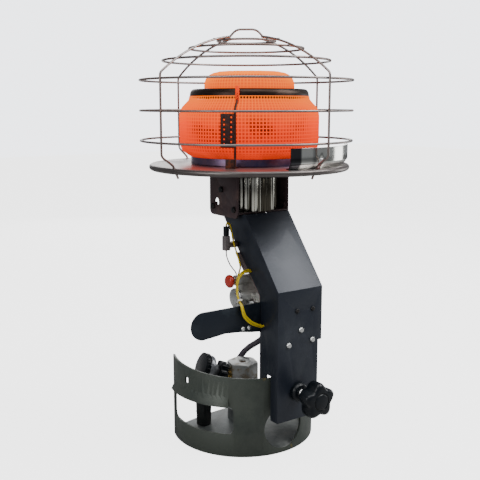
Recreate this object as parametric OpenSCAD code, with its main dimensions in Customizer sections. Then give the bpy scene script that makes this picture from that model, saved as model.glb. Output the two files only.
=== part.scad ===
// Propane heater on a cylinder collar: a mesh emitter in a wire guard, on a bent steel casing
// that a star knob clamps to the collar. Millimetres, +Z up, the casing faces -Y, and z = 0 is
// the collar's lower rim. The origin lies under the middle of the space that the whole takes up.

/* [Guard] */
// Diameter of the guard's wire
wire_d = 3; // [2.5:0.1:3.5]
// Radius of the three lower rings, at the wire's middle
guard_r = 145; // [142:1:150]
// Height of the lowest ring above the plate
ring_lift = 32; // [30:1:36]
// Radius of the guard's domed top
dome_r = 234; // [228:1:245]
// Height of the dome's pole above the plate
dome_rise = 168; // [166:1:172]
// How far the guard hangs to the left of the head's axis
guard_offset = 5; // [0:0.5:6]
// Turn of the uprights about the head
upright_turn = 9; // [0:1:20]
// Half width of the hanging loop
loop_half = 25; // [23:1:28]
// Rise of the hanging loop above its feet
loop_rise = 12.5; // [10:0.5:16]

/* [Deflector plate] */
// Radius of the plate
plate_r = 139; // [136:1:141]
// Thickness of the plate's sheet
plate_t = 1.5; // [1.2:0.1:2]
// Radius of the rolled rim
rim_r = 4; // [3:0.5:4.5]
// Height of the plate's top above the collar's lower rim
plate_top = 391; // [388:1:396]

/* [Emitter] */
// Thickness of the emitter's sheet and mesh
mesh_t = 1.2; // [1:0.1:1.5]
// Radius of the mesh drum
drum_r = 96.4; // [94:0.2:98]
// Height of the burner's base ring
base_h = 11; // [9:1:13]
// Radius of the burner's base ring
base_r = 81; // [79:0.5:82]
// Height of the mesh drum, to the lower edge of the band
drum_h = 77; // [75:1:80]
// Radius of the band
band_r = 82; // [81:0.5:84]
// Height of the band
band_h = 13; // [11:1:15]
// Radius of the mesh dome
dome_cap_r = 61; // [58:1:64]
// Height of the mesh dome
dome_cap_h = 23; // [20:1:26]
// Radius of the inner burner tube
tube_r = 54; // [50:1:56]

/* [Reflector shield] */
// Distance from the plate's edge to the shield
shield_in = 3; // [2:0.5:9]
// Height of the shield
shield_h = 27; // [22:1:30]
// Angle that the shield takes in
shield_angle = 74; // [50:2:90]
// Where the shield starts, about the head
shield_start = -13; // [-20:1:0]

/* [Head] */
// Radius of the fluted throat
throat_r = 39; // [36:0.5:40]
// Number of flutes
flutes = 26; // [18:1:30]
// Distance between the bracket's flanges, inside
flange_gap = 82.4; // [81:0.2:85]
// Depth of the flanges, front to back
flange_depth = 70; // [60:1:76]
// Thickness of the bracket's sheet
bracket_t = 2; // [1.5:0.1:2.5]
// Radius of the mixing tube
mixer_r = 13; // [11:0.5:14]

/* [Casing] */
// Thickness of the casing's sheet
casing_t = 1.5; // [1.2:0.1:2]
// Distance from the collar's outside to the casing's front
face_gap = 17.5; // [15:0.5:21]
// Half width of the casing
casing_half = 34; // [32:0.5:36]
// How much further the upper part reaches to the right
casing_jog = 6; // [4:0.5:7]
// Height of the casing's lower edge
casing_low = 53; // [50:1:58]
// Height at which the front bends back
casing_bend = 232; // [226:1:238]
// Height of the jog in the right side
jog_z = 158; // [150:1:170]
// Depth of the casing's side walls
side_depth = 40.4; // [36:0.2:44]

/* [Clamp] */
// Height of the clamp screw
clamp_z = 92; // [90:1:94]
// Diameter of the clamp screw
stud_d = 10; // [8:1:12]
// Diameter of the star knob
knob_d = 50; // [44:1:54]
// Length of the star knob's head
knob_len = 23; // [20:1:26]
// Number of lobes on the star knob
knob_lobes = 5; // [5:1:8]

/* [Collar] */
// Outer radius of the collar
collar_r = 102; // [100:1:104]
// Wall of the collar
collar_t = 3; // [2.5:0.1:3.5]
// Height of the collar at its front
collar_h = 110; // [108:1:112]
// Rise of the collar's rim towards its ends
collar_rise = 9.5; // [0:0.5:12]
// Angle from the front to each end of the collar
collar_wrap = 112; // [108:1:120]
// Radius of the round opening under the casing
port_r = 31; // [28:0.5:32]
// How far the casing is clamped to the right of the collar's middle
clamp_offset = 7.4; // [0:0.2:8]

/* [Cylinder valve] */
// Width of the hexagonal valve block, across its corners
hex_d = 46; // [42:1:50]
// Height of the hexagonal valve block
hex_h = 27; // [24:1:30]
// Height of the block's top
hex_top = 101; // [99:1:104]
// Radius of the regulator's disc
regulator_r = 19; // [17:0.5:21]
// Diameter of the gas hose
hose_d = 9; // [8:0.5:10]

/* [Hidden] */
$fn = 48;
over = 1;           // overrun of every cut
seat = 0.1;         // gap between pieces that rest on each other
run = 0.05;         // running clearance, on the radius
free = 0.3;         // gap beside curved faces

// Colours
wire_steel = [0.42, 0.38, 0.37];
plate_grey = [0.55, 0.53, 0.51];
glow = [1, 0.42, 0.12];
dark_steel = [0.2, 0.18, 0.18];
casing_blue = [0.2, 0.23, 0.27];
olive = [0.28, 0.29, 0.26];
zinc = [0.62, 0.63, 0.62];
bright = [0.78, 0.78, 0.77];
black = [0.07, 0.09, 0.11];
brass = [0.7, 0.58, 0.3];
yellow = [0.75, 0.65, 0.1];

casing_top = 325;   // the casing's upper edge, which carries the head
shield_r = plate_r - shield_in;

// Where the two axes are. The knob reaches further out than the guard does.
guard_back = (guard_r + wire_d) * cos(upright_turn) + wire_d / 2;
collar_dy = 5.1;    // the collar's axis lies this far behind the head's
face_reach = collar_r - collar_dy + face_gap;
boss_h = 8.5;
knob_gap = 6;
knob_neck = 11;
knob_cap = 0.8;
knob_end = face_reach + boss_h + knob_gap + knob_neck + knob_len;
head_y = (knob_end + knob_cap - guard_back) / 2;

module at_guard() { translate([0, head_y, 0]) children(); }
module at_head() { translate([guard_offset, head_y, 0]) children(); }
module at_collar() { translate([guard_offset - clamp_offset, head_y + collar_dy, 0]) children(); }
// A place at an angle about an axis, measured from the front
module around(a) { rotate([0, 0, a - 90]) children(); }

// Wire bent in a plane. Each inner point has the radius of its bend, and both ends have zero.
function unit(v) = v / norm(v);
function turn(a, b) = a[0] * b[1] - a[1] * b[0];
function bend_angle(u, v) = acos(min(1, u * v));
bend_step = 15;
function arc_points(c, r, a1, a2, step) =
    let(n = max(1, ceil(abs(a2 - a1) / step)))
    [for (k = [0 : n]) c + r * [cos(a1 + (a2 - a1) * k / n), sin(a1 + (a2 - a1) * k / n)]];
function bent(p, bends) = [
    p[0],
    for (i = [1 : len(p) - 2])
        let(u = unit(p[i] - p[i - 1]), v = unit(p[i + 1] - p[i]), s = sign(turn(u, v)),
            from = p[i] - u * bends[i] * tan(bend_angle(u, v) / 2),
            c = from + bends[i] * s * [-u[1], u[0]], a1 = atan2(from[1] - c[1], from[0] - c[0]))
        each arc_points(c, bends[i], a1, a1 + s * bend_angle(u, v), bend_step),
    p[len(p) - 1]
];

// A tube along points in space, with one ring of sides at each point
function cross3(a, b) = [a[1] * b[2] - a[2] * b[1], a[2] * b[0] - a[0] * b[2], a[0] * b[1] - a[1] * b[0]];
module tube(p, d, sides = 8, up = [0.31, 0.53, 0.79]) {
    n = len(p);
    rings = [
        for (i = [0 : n - 1])
            let(w = unit((i < n - 1 ? unit(p[i + 1] - p[i]) : [0, 0, 0])
                         + (i > 0 ? unit(p[i] - p[i - 1]) : [0, 0, 0])),
                u = unit(cross3(up, w)), v = cross3(w, u))
                for (k = [0 : sides - 1])
                    p[i] + d / 2 * (cos(360 * k / sides) * u + sin(360 * k / sides) * v)
    ];
    polyhedron(rings, [
        [for (k = [sides - 1 : -1 : 0]) k],
        for (i = [0 : n - 2]) for (k = [0 : sides - 1])
            [i * sides + k, i * sides + (k + 1) % sides, (i + 1) * sides + (k + 1) % sides,
             (i + 1) * sides + k],
        [for (k = [0 : sides - 1]) (n - 1) * sides + k]
    ], convexity = 6);
}
module wire(p, d) { tube([for (q = p) [q[0], 0, q[1]]], d, 10, [0, 1, 0]); }

// A lead or hose, smooth through its points
function smooth_at(p, i, t) =
    let(a = p[max(i - 1, 0)], b = p[i], c = p[i + 1], d = p[min(i + 2, len(p) - 1)])
    0.5 * (2 * b + (c - a) * t + (2 * a - 5 * b + 4 * c - d) * t * t
           + (3 * b - a - 3 * c + d) * t * t * t);
function smooth(p, steps) = [
    for (i = [0 : len(p) - 2]) for (k = [0 : steps - 1]) smooth_at(p, i, k / steps), p[len(p) - 1]
];
module lead(points, d, steps = 3, sides = 8) { tube(smooth(points, steps), d, sides); }

// Guard
dome_z = plate_top + dome_rise - dome_r;
upper_rings_shares = [0.785, 0.535, 0.271];     // of the lower rings' radius
function dome_height(r, d = dome_r) = dome_z + sqrt(d * d - r * r);
post_r = guard_r + wire_d;
hoop_r = dome_r + wire_d;
foot_hole = [plate_r - rim_r * 2 - 4, plate_top - plate_t / 2];
foot_drop = 13;
foot_in = 8.5;
foot_rise = 4;
foot_knee = 15;
shoulder_bend = 7;
knee_bend = 8;
hook_share = 0.2;
arch_steps = 3;
hoop_end = guard_r * hook_share;

hoop_step = 3;
module guard_upright(i) {
    shoulder = [post_r, dome_height(post_r, hoop_r)];
    slant = asin(post_r / hoop_r);
    ahead = shoulder + 2 * shoulder_bend * [-cos(slant), sin(slant)];
    bend = foot_hole + [wire_d, foot_rise];
    tip = foot_hole - [foot_in - wire_d, foot_drop];
    path = bent([tip, bend, [post_r, plate_top + foot_knee], shoulder, ahead],
                [0, knee_bend / 2, knee_bend, shoulder_bend, 0]);
    hoop = arc_points([0, dome_z], hoop_r, 90 - asin(ahead[0] / hoop_r),
                      90 - asin(hoop_end / hoop_r), hoop_step);
    color(wire_steel) at_guard() around(upright_turn + 90 * i)
        wire(concat([for (k = [0 : len(path) - 2]) path[k]], hoop), wire_d);
}
module guard_upright_1() { guard_upright(0); }
module guard_upright_2() { guard_upright(1); }
module guard_upright_3() { guard_upright(2); }
module guard_upright_4() { guard_upright(3); }

module hoop_ring(r, z) {
    color(wire_steel) at_guard() translate([0, 0, z])
        rotate_extrude($fn = 96) translate([r, 0]) circle(d = wire_d);
}
// The lower rings share out the height up to the uprights' shoulders
shoulder_gap = 6.5;
ring_pitch = (dome_height(post_r, hoop_r) - shoulder_gap - plate_top - ring_lift) / 2;
module lower_ring(i) { hoop_ring(guard_r, plate_top + ring_lift + i * ring_pitch); }
module upper_ring(i) {
    r = guard_r * upper_rings_shares[i];
    hoop_ring(r, dome_height(r));
}
module guard_ring_1() { lower_ring(0); }
module guard_ring_2() { lower_ring(1); }
module guard_ring_3() { lower_ring(2); }
module guard_ring_4() { upper_ring(0); }
module guard_ring_5() { upper_ring(1); }
module guard_ring_6() { upper_ring(2); }

// The loop's feet lie on the top ring, between two pairs of uprights
module guard_loop() {
    r = guard_r * upper_rings_shares[2];
    foot = dome_height(r) + wire_d;
    tail = r + 2 * wire_d;
    foot_bend = 4;
    arch = loop_half * 0.55;
    color(wire_steel) at_guard() around(upright_turn + 45)
        wire(bent([[-tail, foot], [-loop_half, foot], [-arch, foot + loop_rise], [arch, foot + loop_rise],
                   [loop_half, foot], [tail, foot]],
                  [0, foot_bend, arch, arch, foot_bend, 0]), wire_d);
}

// Deflector plate
upright_hole_r = 3;
web_screw_r = 2.2;
web_screw_at = flange_gap / 2 - 8;
module deflector_plate() {
    color(plate_grey) at_head() difference() {
        union() {
            translate([0, 0, plate_top - plate_t]) cylinder(r = plate_r - rim_r, h = plate_t, $fn = 96);
            translate([0, 0, plate_top - rim_r]) rotate_extrude($fn = 96)
                translate([plate_r - rim_r, 0]) circle(r = rim_r);
        }
        translate([0, 0, plate_top - plate_t - over]) cylinder(r = mixer_r + free, h = plate_t + 2 * over);
        translate([-guard_offset, 0, 0]) for (i = [0 : 3]) around(upright_turn + 90 * i)
            translate([foot_hole[0] + wire_d / 4, 0, plate_top - 2 * rim_r - over])
                cylinder(r = upright_hole_r, h = 2 * (rim_r + over));
    }
}

// Emitter. Each shell is an outline that is scaled down about its middle to give the wall.
module shell(outer, t, z_mid) {
    r = max([for (p = outer) p[0]]);
    k = (r - t) / r;
    inner = [for (i = [len(outer) - 1 : -1 : 0]) [outer[i][0] - t, z_mid + (outer[i][1] - z_mid) * k]];
    rotate_extrude($fn = 96) polygon(concat(outer, inner));
}
base_top = plate_top + base_h;
band_low = plate_top + base_h + drum_h;
band_top = band_low + band_h;
band_in = band_r - mesh_t;
base_bore_gap = 5.94;       // between the burner tube and the base's bore
module burner_base() {
    color([0.3, 0.27, 0.42]) at_head() translate([0, 0, plate_top + seat]) difference() {
        cylinder(r = base_r, h = base_h - seat, $fn = 96);
        translate([0, 0, mesh_t]) cylinder(r = base_r - mesh_t, h = base_h + over, $fn = 96);
        translate([0, 0, -over]) cylinder(r = tube_r + base_bore_gap, h = base_h, $fn = 96);
    }
}
module inner_burner_tube() {
    color([0.8, 0.3, 0.1]) at_head() translate([0, 0, plate_top + seat]) difference() {
        cylinder(r = tube_r, h = band_top - plate_top - mesh_t - 2 * seat);
        translate([0, 0, -over]) cylinder(r = tube_r - mesh_t, h = band_top - plate_top + 2 * over);
    }
}
drum_foot_share = 0.07;
drum_round_share = 0.19;
drum_wall_share = 0.72;
drum_shoulder_share = 0.84;
drum_neck_share = 0.95;
module emitter_drum() {
    neck = band_in - free;
    lip = 3;
    function at(share) = base_top + seat + drum_h * share;
    color(glow) at_head() shell([
        [base_r - mesh_t, at(0)], [base_r + mesh_t, at(0)], [drum_r * 0.955, at(drum_foot_share)],
        [drum_r, at(drum_round_share)], [drum_r, at(drum_wall_share)],
        [drum_r * 0.955, at(drum_shoulder_share)], [neck + 2, at(drum_neck_share)],
        [neck, band_low], [neck, band_low + lip]
    ], mesh_t, (base_top + band_low) / 2);
}
band_round = 3;
module emitter_band() {
    steps = 4;
    function corner(r, b) = [for (k = [0 : steps])
        [r - b + b * cos(90 * k / steps), band_top - band_r + r - b + b * sin(90 * k / steps)]];
    color(dark_steel) at_head() rotate_extrude($fn = 96) polygon(concat(
        [[band_r, band_low]], corner(band_r, band_round), [[dome_cap_r - 6, band_top]],
        [[dome_cap_r - 6, band_top - mesh_t]],
        [for (k = [steps : -1 : 0]) [band_in - band_round + band_round * cos(90 * k / steps),
            band_top - mesh_t - band_round + band_round * sin(90 * k / steps)]],
        [[band_in, band_low]]));
}
cap_shares = [[1, 0], [1, 0.36], [0.95, 0.66], [0.82, 0.88], [0.5, 0.98], [0.02, 1]];
module emitter_dome() {
    z0 = band_top + seat;
    outer = [for (s = cap_shares) [dome_cap_r * s[0], z0 + dome_cap_h * s[1]]];
    inner = [for (i = [len(cap_shares) - 1 : -1 : 0])
        let(s = cap_shares[i]) [max((dome_cap_r - mesh_t) * s[0], 0), z0 + (dome_cap_h - mesh_t) * s[1]]];
    color([1, 0.62, 0.18]) at_head() rotate_extrude($fn = 96)
        polygon(concat(outer, [[0, z0 + dome_cap_h]], [[0, z0 + dome_cap_h - mesh_t]], inner));
}

// Perforated strip that guards the pilot flame, with its probe
strip_at = -51.5;
strip_w = 19;
strip_t = 1;
strip_low = 15;
strip_h = 43;
strip_hole_r = 1.2;
strip_rows = 6;
rod_at = -45.5;
module pilot_shield() {
    a = strip_w / drum_r * 180 / PI;
    r = drum_r + seat;
    pitch = strip_h / (strip_rows + 1);
    color(dark_steel) at_head() translate([0, 0, base_top + strip_low]) difference() {
        around(strip_at - a / 2) rotate_extrude(angle = a)
            translate([r, 0]) square([strip_t, strip_h]);
        for (i = [1 : strip_rows]) for (side = [-1, 1])
            around(strip_at + side * a / 4)
                translate([r - over, 0, pitch * (i + side / 4)]) rotate([0, 90, 0])
                    cylinder(r = strip_hole_r, h = strip_t + 2 * over, $fn = 24);
    }
}
rod_r = drum_r + wire_d;
probe_t = 1.2;
module probe_rod() {
    top = [band_r + wire_d / 2 + seat, band_low + band_h / 2];
    color([0.35, 0.2, 0.2]) at_head() around(rod_at)
        wire(bent([top, top - [0, band_h * 0.6], [rod_r, band_low - band_h],
                   [rod_r, plate_top + probe_t + 2 * seat]],
                  [0, wire_d, 2 * wire_d, 0]), wire_d);
}
module probe_bracket() {
    depth = 19;
    width = 13;
    tab_h = 12;
    in_r = base_r + mesh_t;
    color([0.35, 0.3, 0.2]) at_head() around((rod_at + strip_at) / 2) {
        translate([in_r + over, -width / 2, plate_top + seat]) cube([depth, width, probe_t]);
        translate([in_r + over + depth, -width / 2, plate_top + seat]) cube([probe_t, width, tab_h]);
    }
}

// Reflector shield, clipped to the plate by its tucked foot
shield_t = 1.2;
shield_tuck = 6;
shield_foot = 8;
shield_notch = [8, 13];     // lets an upright's foot through
module reflector_shield() {
    z0 = plate_top + seat;
    knee = shield_h * 0.32;
    color(bright) at_head() difference() {
        around(shield_start) rotate_extrude(angle = shield_angle, $fn = 96)
            polygon([
                [shield_r - shield_tuck - shield_foot, z0], [shield_r - shield_tuck, z0],
                [shield_r, z0 + knee], [shield_r, z0 + shield_h], [shield_r - shield_t, z0 + shield_h],
                [shield_r - shield_t, z0 + knee], [shield_r - shield_tuck - shield_t, z0 + shield_t],
                [shield_r - shield_tuck - shield_foot, z0 + shield_t]
            ]);
        translate([-guard_offset, 0, 0]) around(upright_turn) translate([shield_r - 2 * shield_notch[1], -shield_notch[0] / 2, z0 - over])
            cube([3 * shield_notch[1], shield_notch[0], shield_notch[1] + over]);
    }
}

// Head bracket: a web under the plate and two flanges that hang from it
web_top = plate_top - plate_t - seat;
flange_low = 319;
flange_round = 8;
sight_r = 5.5;
sight = [17, 338];
flange_screw_d = 5;
flange_screw = [5, 356];
tab_screw = [26, 331];
module flange() {
    h = web_top - flange_low;
    rotate([90, 0, 90]) linear_extrude(bracket_t) difference() {
        union() {
            translate([-flange_depth / 2, flange_low + flange_round])
                square([flange_depth, h - flange_round]);
            translate([-flange_depth / 2 + flange_round, flange_low])
                square([flange_depth - 2 * flange_round, flange_round + over]);
            for (s = [-1, 1]) translate([s * (flange_depth / 2 - flange_round), flange_low + flange_round])
                circle(r = flange_round);
        }
        translate(sight) circle(r = sight_r);
        translate(flange_screw) circle(d = flange_screw_d + 2 * run);
        for (s = [-1, 1]) translate([s * tab_screw[0], tab_screw[1]])
            circle(d = flange_screw_d + 2 * run);
    }
}
module head_bracket() {
    wide = flange_gap + 2 * bracket_t;
    color([0.32, 0.24, 0.25]) at_head() {
        translate([flange_gap / 2, 0, 0]) flange();
        translate([-flange_gap / 2 - bracket_t, 0, 0]) flange();
        difference() {
            translate([-wide / 2, -flange_depth / 2, web_top - bracket_t])
                cube([wide, flange_depth, bracket_t]);
            translate([0, 0, web_top - bracket_t - over])
                cylinder(r = mixer_r + free, h = bracket_t + 2 * over);
        }
    }
}
screw_head_h = 2.6;
module side_screw(y, z, side, depth) {
    x = side * (flange_gap / 2 + bracket_t);
    translate([x, y, z]) rotate([0, side * 90, 0]) {
        translate([0, 0, seat]) cylinder(d1 = flange_screw_d * 1.8, d2 = flange_screw_d * 1.5, h = screw_head_h);
        translate([0, 0, -depth]) cylinder(d = flange_screw_d, h = depth + seat);
    }
}
module bracket_screws() {
    color(black) at_head() for (side = [-1, 1]) {
        side_screw(flange_screw[0], flange_screw[1], side, bracket_t);
        for (s = [-1, 1]) side_screw(s * tab_screw[0], tab_screw[1], side, bracket_t + neck_t);
    }
}
neck_t = 2;
neck_top = casing_top + neck_t + seat;
module neck_plate() {
    half = flange_gap / 2 - seat;
    tab_w = 12;
    tab_h = tab_screw[1] - neck_top + 6;
    color(dark_steel) at_head() difference() {
        union() {
            translate([-half, -flange_depth / 2, neck_top - neck_t])
                cube([2 * half, flange_depth, neck_t]);
            for (side = [-1, 1]) for (s = [-1, 1])
                translate([side * (half - neck_t / 2) - neck_t / 2, s * tab_screw[0] - tab_w / 2, neck_top - over])
                    cube([neck_t, tab_w, tab_h + over]);
        }
        translate([0, 0, neck_top - neck_t - over]) cylinder(r = mixer_r + free, h = neck_t + 2 * over);
        for (s = [-1, 1]) translate([-half - over, s * tab_screw[0], tab_screw[1]])
            rotate([0, 90, 0]) cylinder(d = flange_screw_d + 2 * run, h = 2 * half + 2 * over);
    }
}
flute_r = 2.9;
throat_t = 5;
module burner_throat() {
    z0 = neck_top + seat;
    h = web_top - bracket_t - seat - z0;
    color(bright) at_head() translate([0, 0, z0]) difference() {
        cylinder(r = throat_r, h = h, $fn = 96);
        translate([0, 0, -over]) cylinder(r = throat_r - throat_t, h = h + 2 * over);
        for (i = [0 : flutes - 1]) rotate([0, 0, 360 * i / flutes])
            translate([throat_r + flute_r / 3, 0, -over]) cylinder(r = flute_r, h = h + 2 * over, $fn = 24);
    }
}
mixer_t = 1.2;
mixer_low = 305;
module mixing_tube() {
    color(zinc) at_head() translate([0, 0, mixer_low]) difference() {
        cylinder(r = mixer_r, h = plate_top + 12 - mixer_low);
        translate([0, 0, mixer_t]) cylinder(r = mixer_r - mixer_t, h = plate_top + 12 - mixer_low);
        translate([0, 0, -over]) cylinder(r = jet_r + run, h = mixer_t + 2 * over);
        for (a = [0, 90]) translate([0, 0, 14]) rotate([90, 0, a])
            cylinder(r = 5, h = 2 * mixer_r + 2 * over, center = true);
    }
}
jet_r = 5;
jet_h = 16;
jet_low = mixer_low - 10;
module gas_jet() {
    color(brass) at_head() translate([0, 0, jet_low]) difference() {
        union() {
            cylinder(r = jet_r, h = jet_h);
            cylinder(r = jet_r * 1.5, h = 10 - seat, $fn = 6);
        }
        translate([0, 0, jet_h - 6]) cylinder(r = 0.8, h = 6 + over, $fn = 24);
    }
}

// Casing. Its side is an outline in Y and Z, and its width steps in on the right below the jog.
slope_run = 74.4;
rear_low = -face_reach + side_depth;
rear = [[rear_low, casing_low], [rear_low, 220], [-43, 254], [11.5, 317]];
slope_top = [-face_reach + slope_run, casing_top];
function front_line(t) =
    let(d = unit(slope_top - [-face_reach, casing_bend]), n = [d[1], -d[0]],
        s = t * (1 - n[0]) / d[0])
    [[-face_reach + t, casing_low - t],
     [-face_reach + t, casing_bend + t * n[1] + s * d[1]],
     slope_top + t * n + 3 * t * d];
module side_prism(x0, x1, outline) {
    translate([x0, 0, 0]) rotate([90, 0, 90]) linear_extrude(x1 - x0) polygon(outline);
}
outer_side = concat([[-face_reach, casing_low], [-face_reach, casing_bend], slope_top],
                    [[rear[3][0], casing_top]], [for (i = [3 : -1 : 0]) rear[i]]);
inner_side = concat(front_line(casing_t),
                    [[100, casing_top + 3 * casing_t], [100, casing_low - casing_t]]);
// The collar's wall passes up into a slot in each side wall
function wall_y(x, r) = collar_dy - sqrt(r * r - (x + clamp_offset) * (x + clamp_offset));
slot_w = collar_t + 6;
slot_top = collar_h + 5;
cover_screw_r = 2.5;
cover_screws_at = [[-7.5, 176.5], [12, 160], [-28, 158.5]];
cover_rivets_at = [[-14.5, 203.5], [12, 203]];
stud_r = stud_d / 2;
boss_r = 13;
module front_cover() {
    right = casing_half + casing_jog;
    color(casing_blue) at_head() difference() {
        union() {
            side_prism(-casing_half, casing_half, outer_side);
            intersection() {
                side_prism(casing_half - casing_t, right, outer_side);
                translate([0, -2 * face_reach, jog_z]) cube([2 * right, 3 * face_reach, casing_top]);
            }
        }
        side_prism(-casing_half + casing_t, casing_half - casing_t, inner_side);
        intersection() {
            side_prism(0, right - casing_t, inner_side);
            translate([0, -2 * face_reach, jog_z + casing_t])
                cube([2 * right, 3 * face_reach, casing_top]);
        }
        for (side = [-1, 1])
            translate([side * (casing_half - casing_t / 2) - 2 * casing_t,
                       wall_y(side * casing_half, collar_r - collar_t) + free - slot_w,
                       casing_low - over])
                cube([4 * casing_t, slot_w, slot_top - casing_low + over]);
        translate([0, -face_reach - over, clamp_z]) rotate([-90, 0, 0])
            cylinder(r = stud_r + run, h = casing_t + 2 * over);
        for (p = concat(cover_screws_at, cover_rivets_at))
            translate([p[0] + cover_dx, -face_reach - over, p[1]]) rotate([-90, 0, 0])
                cylinder(r = cover_screw_r + run, h = casing_t + 2 * over, $fn = 24);
    }
}
cover_dx = 12;
module face_fastener(p, head_r, head_h) {
    translate([p[0] + cover_dx, -face_reach, p[1]]) rotate([90, 0, 0]) {
        translate([0, 0, seat]) cylinder(r1 = head_r, r2 = head_r * 0.7, h = head_h, $fn = 32);
        translate([0, 0, -casing_t - 2]) cylinder(r = cover_screw_r, h = casing_t + 2 + seat, $fn = 24);
    }
}
module cover_screws() { color(bright) at_head() for (p = cover_screws_at) face_fastener(p, 4.2, 2.4); }
module cover_rivets() { color(black) at_head() for (p = cover_rivets_at) face_fastener(p, 3.6, 1.8); }

// Support plate behind the casing's rear edges, with the valve and the arm on it
switch_at = [-58, -27, 276];
switch_size = [8.5, 8.5, 20];
plate_left = -41;
plate_right = 38;
support_t = 1.5;
support_low = 176.5;
ear_left = -70;     // the ear that the arm is screwed to
ear_h = 18;
strip_z = [247, 272];
lug_h = 7;          // the lug that carries the tilt switch
lug_w = 13.5;
lug_y = -24;
lug_z0 = switch_at[2] + 3;
arm_hole_r = 2;
arm_screws_at = [-62.5, -53];
arm_screw_z = 180;
module support_plate() {
    slant = support_t / sin(48);
    color([0.45, 0.37, 0.36]) at_head() difference() {
        union() {
            side_prism(plate_left, plate_right, [
                [rear_low + seat, support_low], [rear_low + seat, rear[1][1]],
                [rear[2][0] + seat, rear[2][1]], [rear[3][0] + seat, rear[3][1]],
                [rear[3][0] + slant, rear[3][1]], [rear[2][0] + slant, rear[2][1]],
                [rear_low + support_t, rear[1][1] - support_t / 2], [rear_low + support_t, support_low]
            ]);
            translate([ear_left, rear_low + seat, support_low])
                cube([plate_left - ear_left + over, support_t - seat, ear_h]);
            translate([switch_at[0] + switch_size[0] + seat, lug_y, lug_z0])
                cube([lug_w, lug_h, lug_h]);
        }
        translate([plate_left - over, 2 * rear_low, support_low + ear_h])
            cube([-plate_left - casing_half + over, -2 * rear_low, strip_z[0] - support_low - ear_h]);
        translate([plate_left - over, rear_low, strip_z[1]])
            cube([-plate_left - casing_half + over, 2 * casing_top, lug_z0 - strip_z[1]]);
        translate([plate_left - over, rear_low, lug_z0 + lug_h])
            cube([-plate_left - casing_half + over, 2 * casing_top, casing_top]);
        for (x = arm_screws_at) translate([x, rear_low - over, arm_screw_z]) rotate([-90, 0, 0])
            cylinder(r = arm_hole_r + run, h = support_t + 2 * over, $fn = 24);
        translate([0, 0, jet_low - 8]) cylinder(r = mixer_r + over, h = casing_top - jet_low);
    }
}
arm_end = -142;
arm_h = 36.5;
arm_low = 175;
arm_t = 2;
arm_waist = [[-106, 176.5], [-91, 178], [-67, 176], [-50, 173]];     // its lower edge
module side_arm() {
    y = rear_low - arm_t - seat;
    color([0.12, 0.17, 0.21]) at_head() difference() {
        union() {
            translate([0, y + arm_t, 0]) rotate([90, 0, 0]) linear_extrude(arm_t) polygon(concat(
                [[arm_end + arm_h / 2, arm_low + arm_h], [arm_end + arm_h / 2, arm_low]], arm_waist,
                [[-casing_half - 0.2, 171], [-casing_half - 0.2, arm_low + arm_h]]));
            translate([arm_end + arm_h / 2, y, arm_low + arm_h / 2]) rotate([-90, 0, 0])
                cylinder(d = arm_h, h = arm_t);
        }
        for (x = arm_screws_at) translate([x, y - over, arm_screw_z]) rotate([-90, 0, 0])
            cylinder(r = arm_hole_r + run, h = arm_t + 2 * over, $fn = 24);
    }
}
module arm_screws() {
    y = rear_low - arm_t - seat;
    color(bright) at_head() for (x = arm_screws_at) translate([x, y, arm_screw_z]) rotate([90, 0, 0]) {
        translate([0, 0, seat]) cylinder(r1 = 3.6, r2 = 2.6, h = 2, $fn = 32);
        translate([0, 0, -support_t - arm_t - 2]) cylinder(r = arm_hole_r, h = support_t + arm_t + 2 + seat, $fn = 24);
    }
}

// Safety valve: a zinc casting with a push button, a magnet and a round cover
valve_y = -44;
valve_z = 213;
button_z = 238;
valve_r = 11;
barrel_r = 7;
valve_left = -51;
valve_right = -20;
barrel_left = -54;
stem_r = 4;
button_r = 9;
button_travel = 5;
magnet_at = [-63, 207];
port_at = -35.5;
port_w = 8;
module valve_body() {
    foot_low = 207;
    color(zinc) at_head() difference() {
        union() {
            translate([valve_left, valve_y, valve_z]) rotate([0, 90, 0])
                cylinder(r = valve_r, h = valve_right - valve_left);
            translate([barrel_left, valve_y, button_z]) rotate([0, 90, 0])
                cylinder(r = barrel_r, h = valve_right - barrel_left - 3);
            translate([valve_left + 6, valve_y - 5, valve_z]) cube([22, 10, button_z - valve_z]);
            translate([valve_left + 17.5, rear_low + support_t + seat, foot_low])
                cube([12, valve_y - rear_low - support_t, 12]);
            translate([port_at, magnet_at[0], magnet_at[1] - 3])
                cube([port_w, valve_y - magnet_at[0], valve_z - magnet_at[1] + 6]);
            translate([port_at, magnet_at[0], magnet_at[1]]) rotate([0, 90, 0])
                cylinder(r = 7, h = port_w);
        }
        translate([barrel_left - over, valve_y, button_z]) rotate([0, 90, 0])
            cylinder(r = stem_r + run, h = 26);
    }
}
module valve_flange() {
    color(bright) at_head() translate([valve_left - seat, valve_y, valve_z]) rotate([0, -90, 0]) {
        cylinder(r = 14, h = 3);
        cylinder(r = 8, h = 4.5);
    }
}
module magnet_nut() {
    h = 10;
    color(bright) at_head() translate([port_at - seat, magnet_at[0], magnet_at[1]])
        rotate([0, -90, 0]) {
            cylinder(r = 8.6, h = h * 0.6, $fn = 6);
            cylinder(r = 7.4, h = h);
        }
}
button_head = 6;
button_gap = button_travel + 1.5;
module valve_button() {
    color([0.75, 0.2, 0.08]) at_head() translate([barrel_left - button_gap, valve_y, button_z])
        rotate([0, -90, 0]) {
            cylinder(r = button_r, h = button_head * 0.6);
            translate([0, 0, button_head * 0.6]) cylinder(r1 = button_r, r2 = button_r * 0.75, h = button_head * 0.4);
            translate([0, 0, -button_gap - 14]) cylinder(r = stem_r, h = button_gap + 14);
        }
}
spring_turns = 3;
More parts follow.
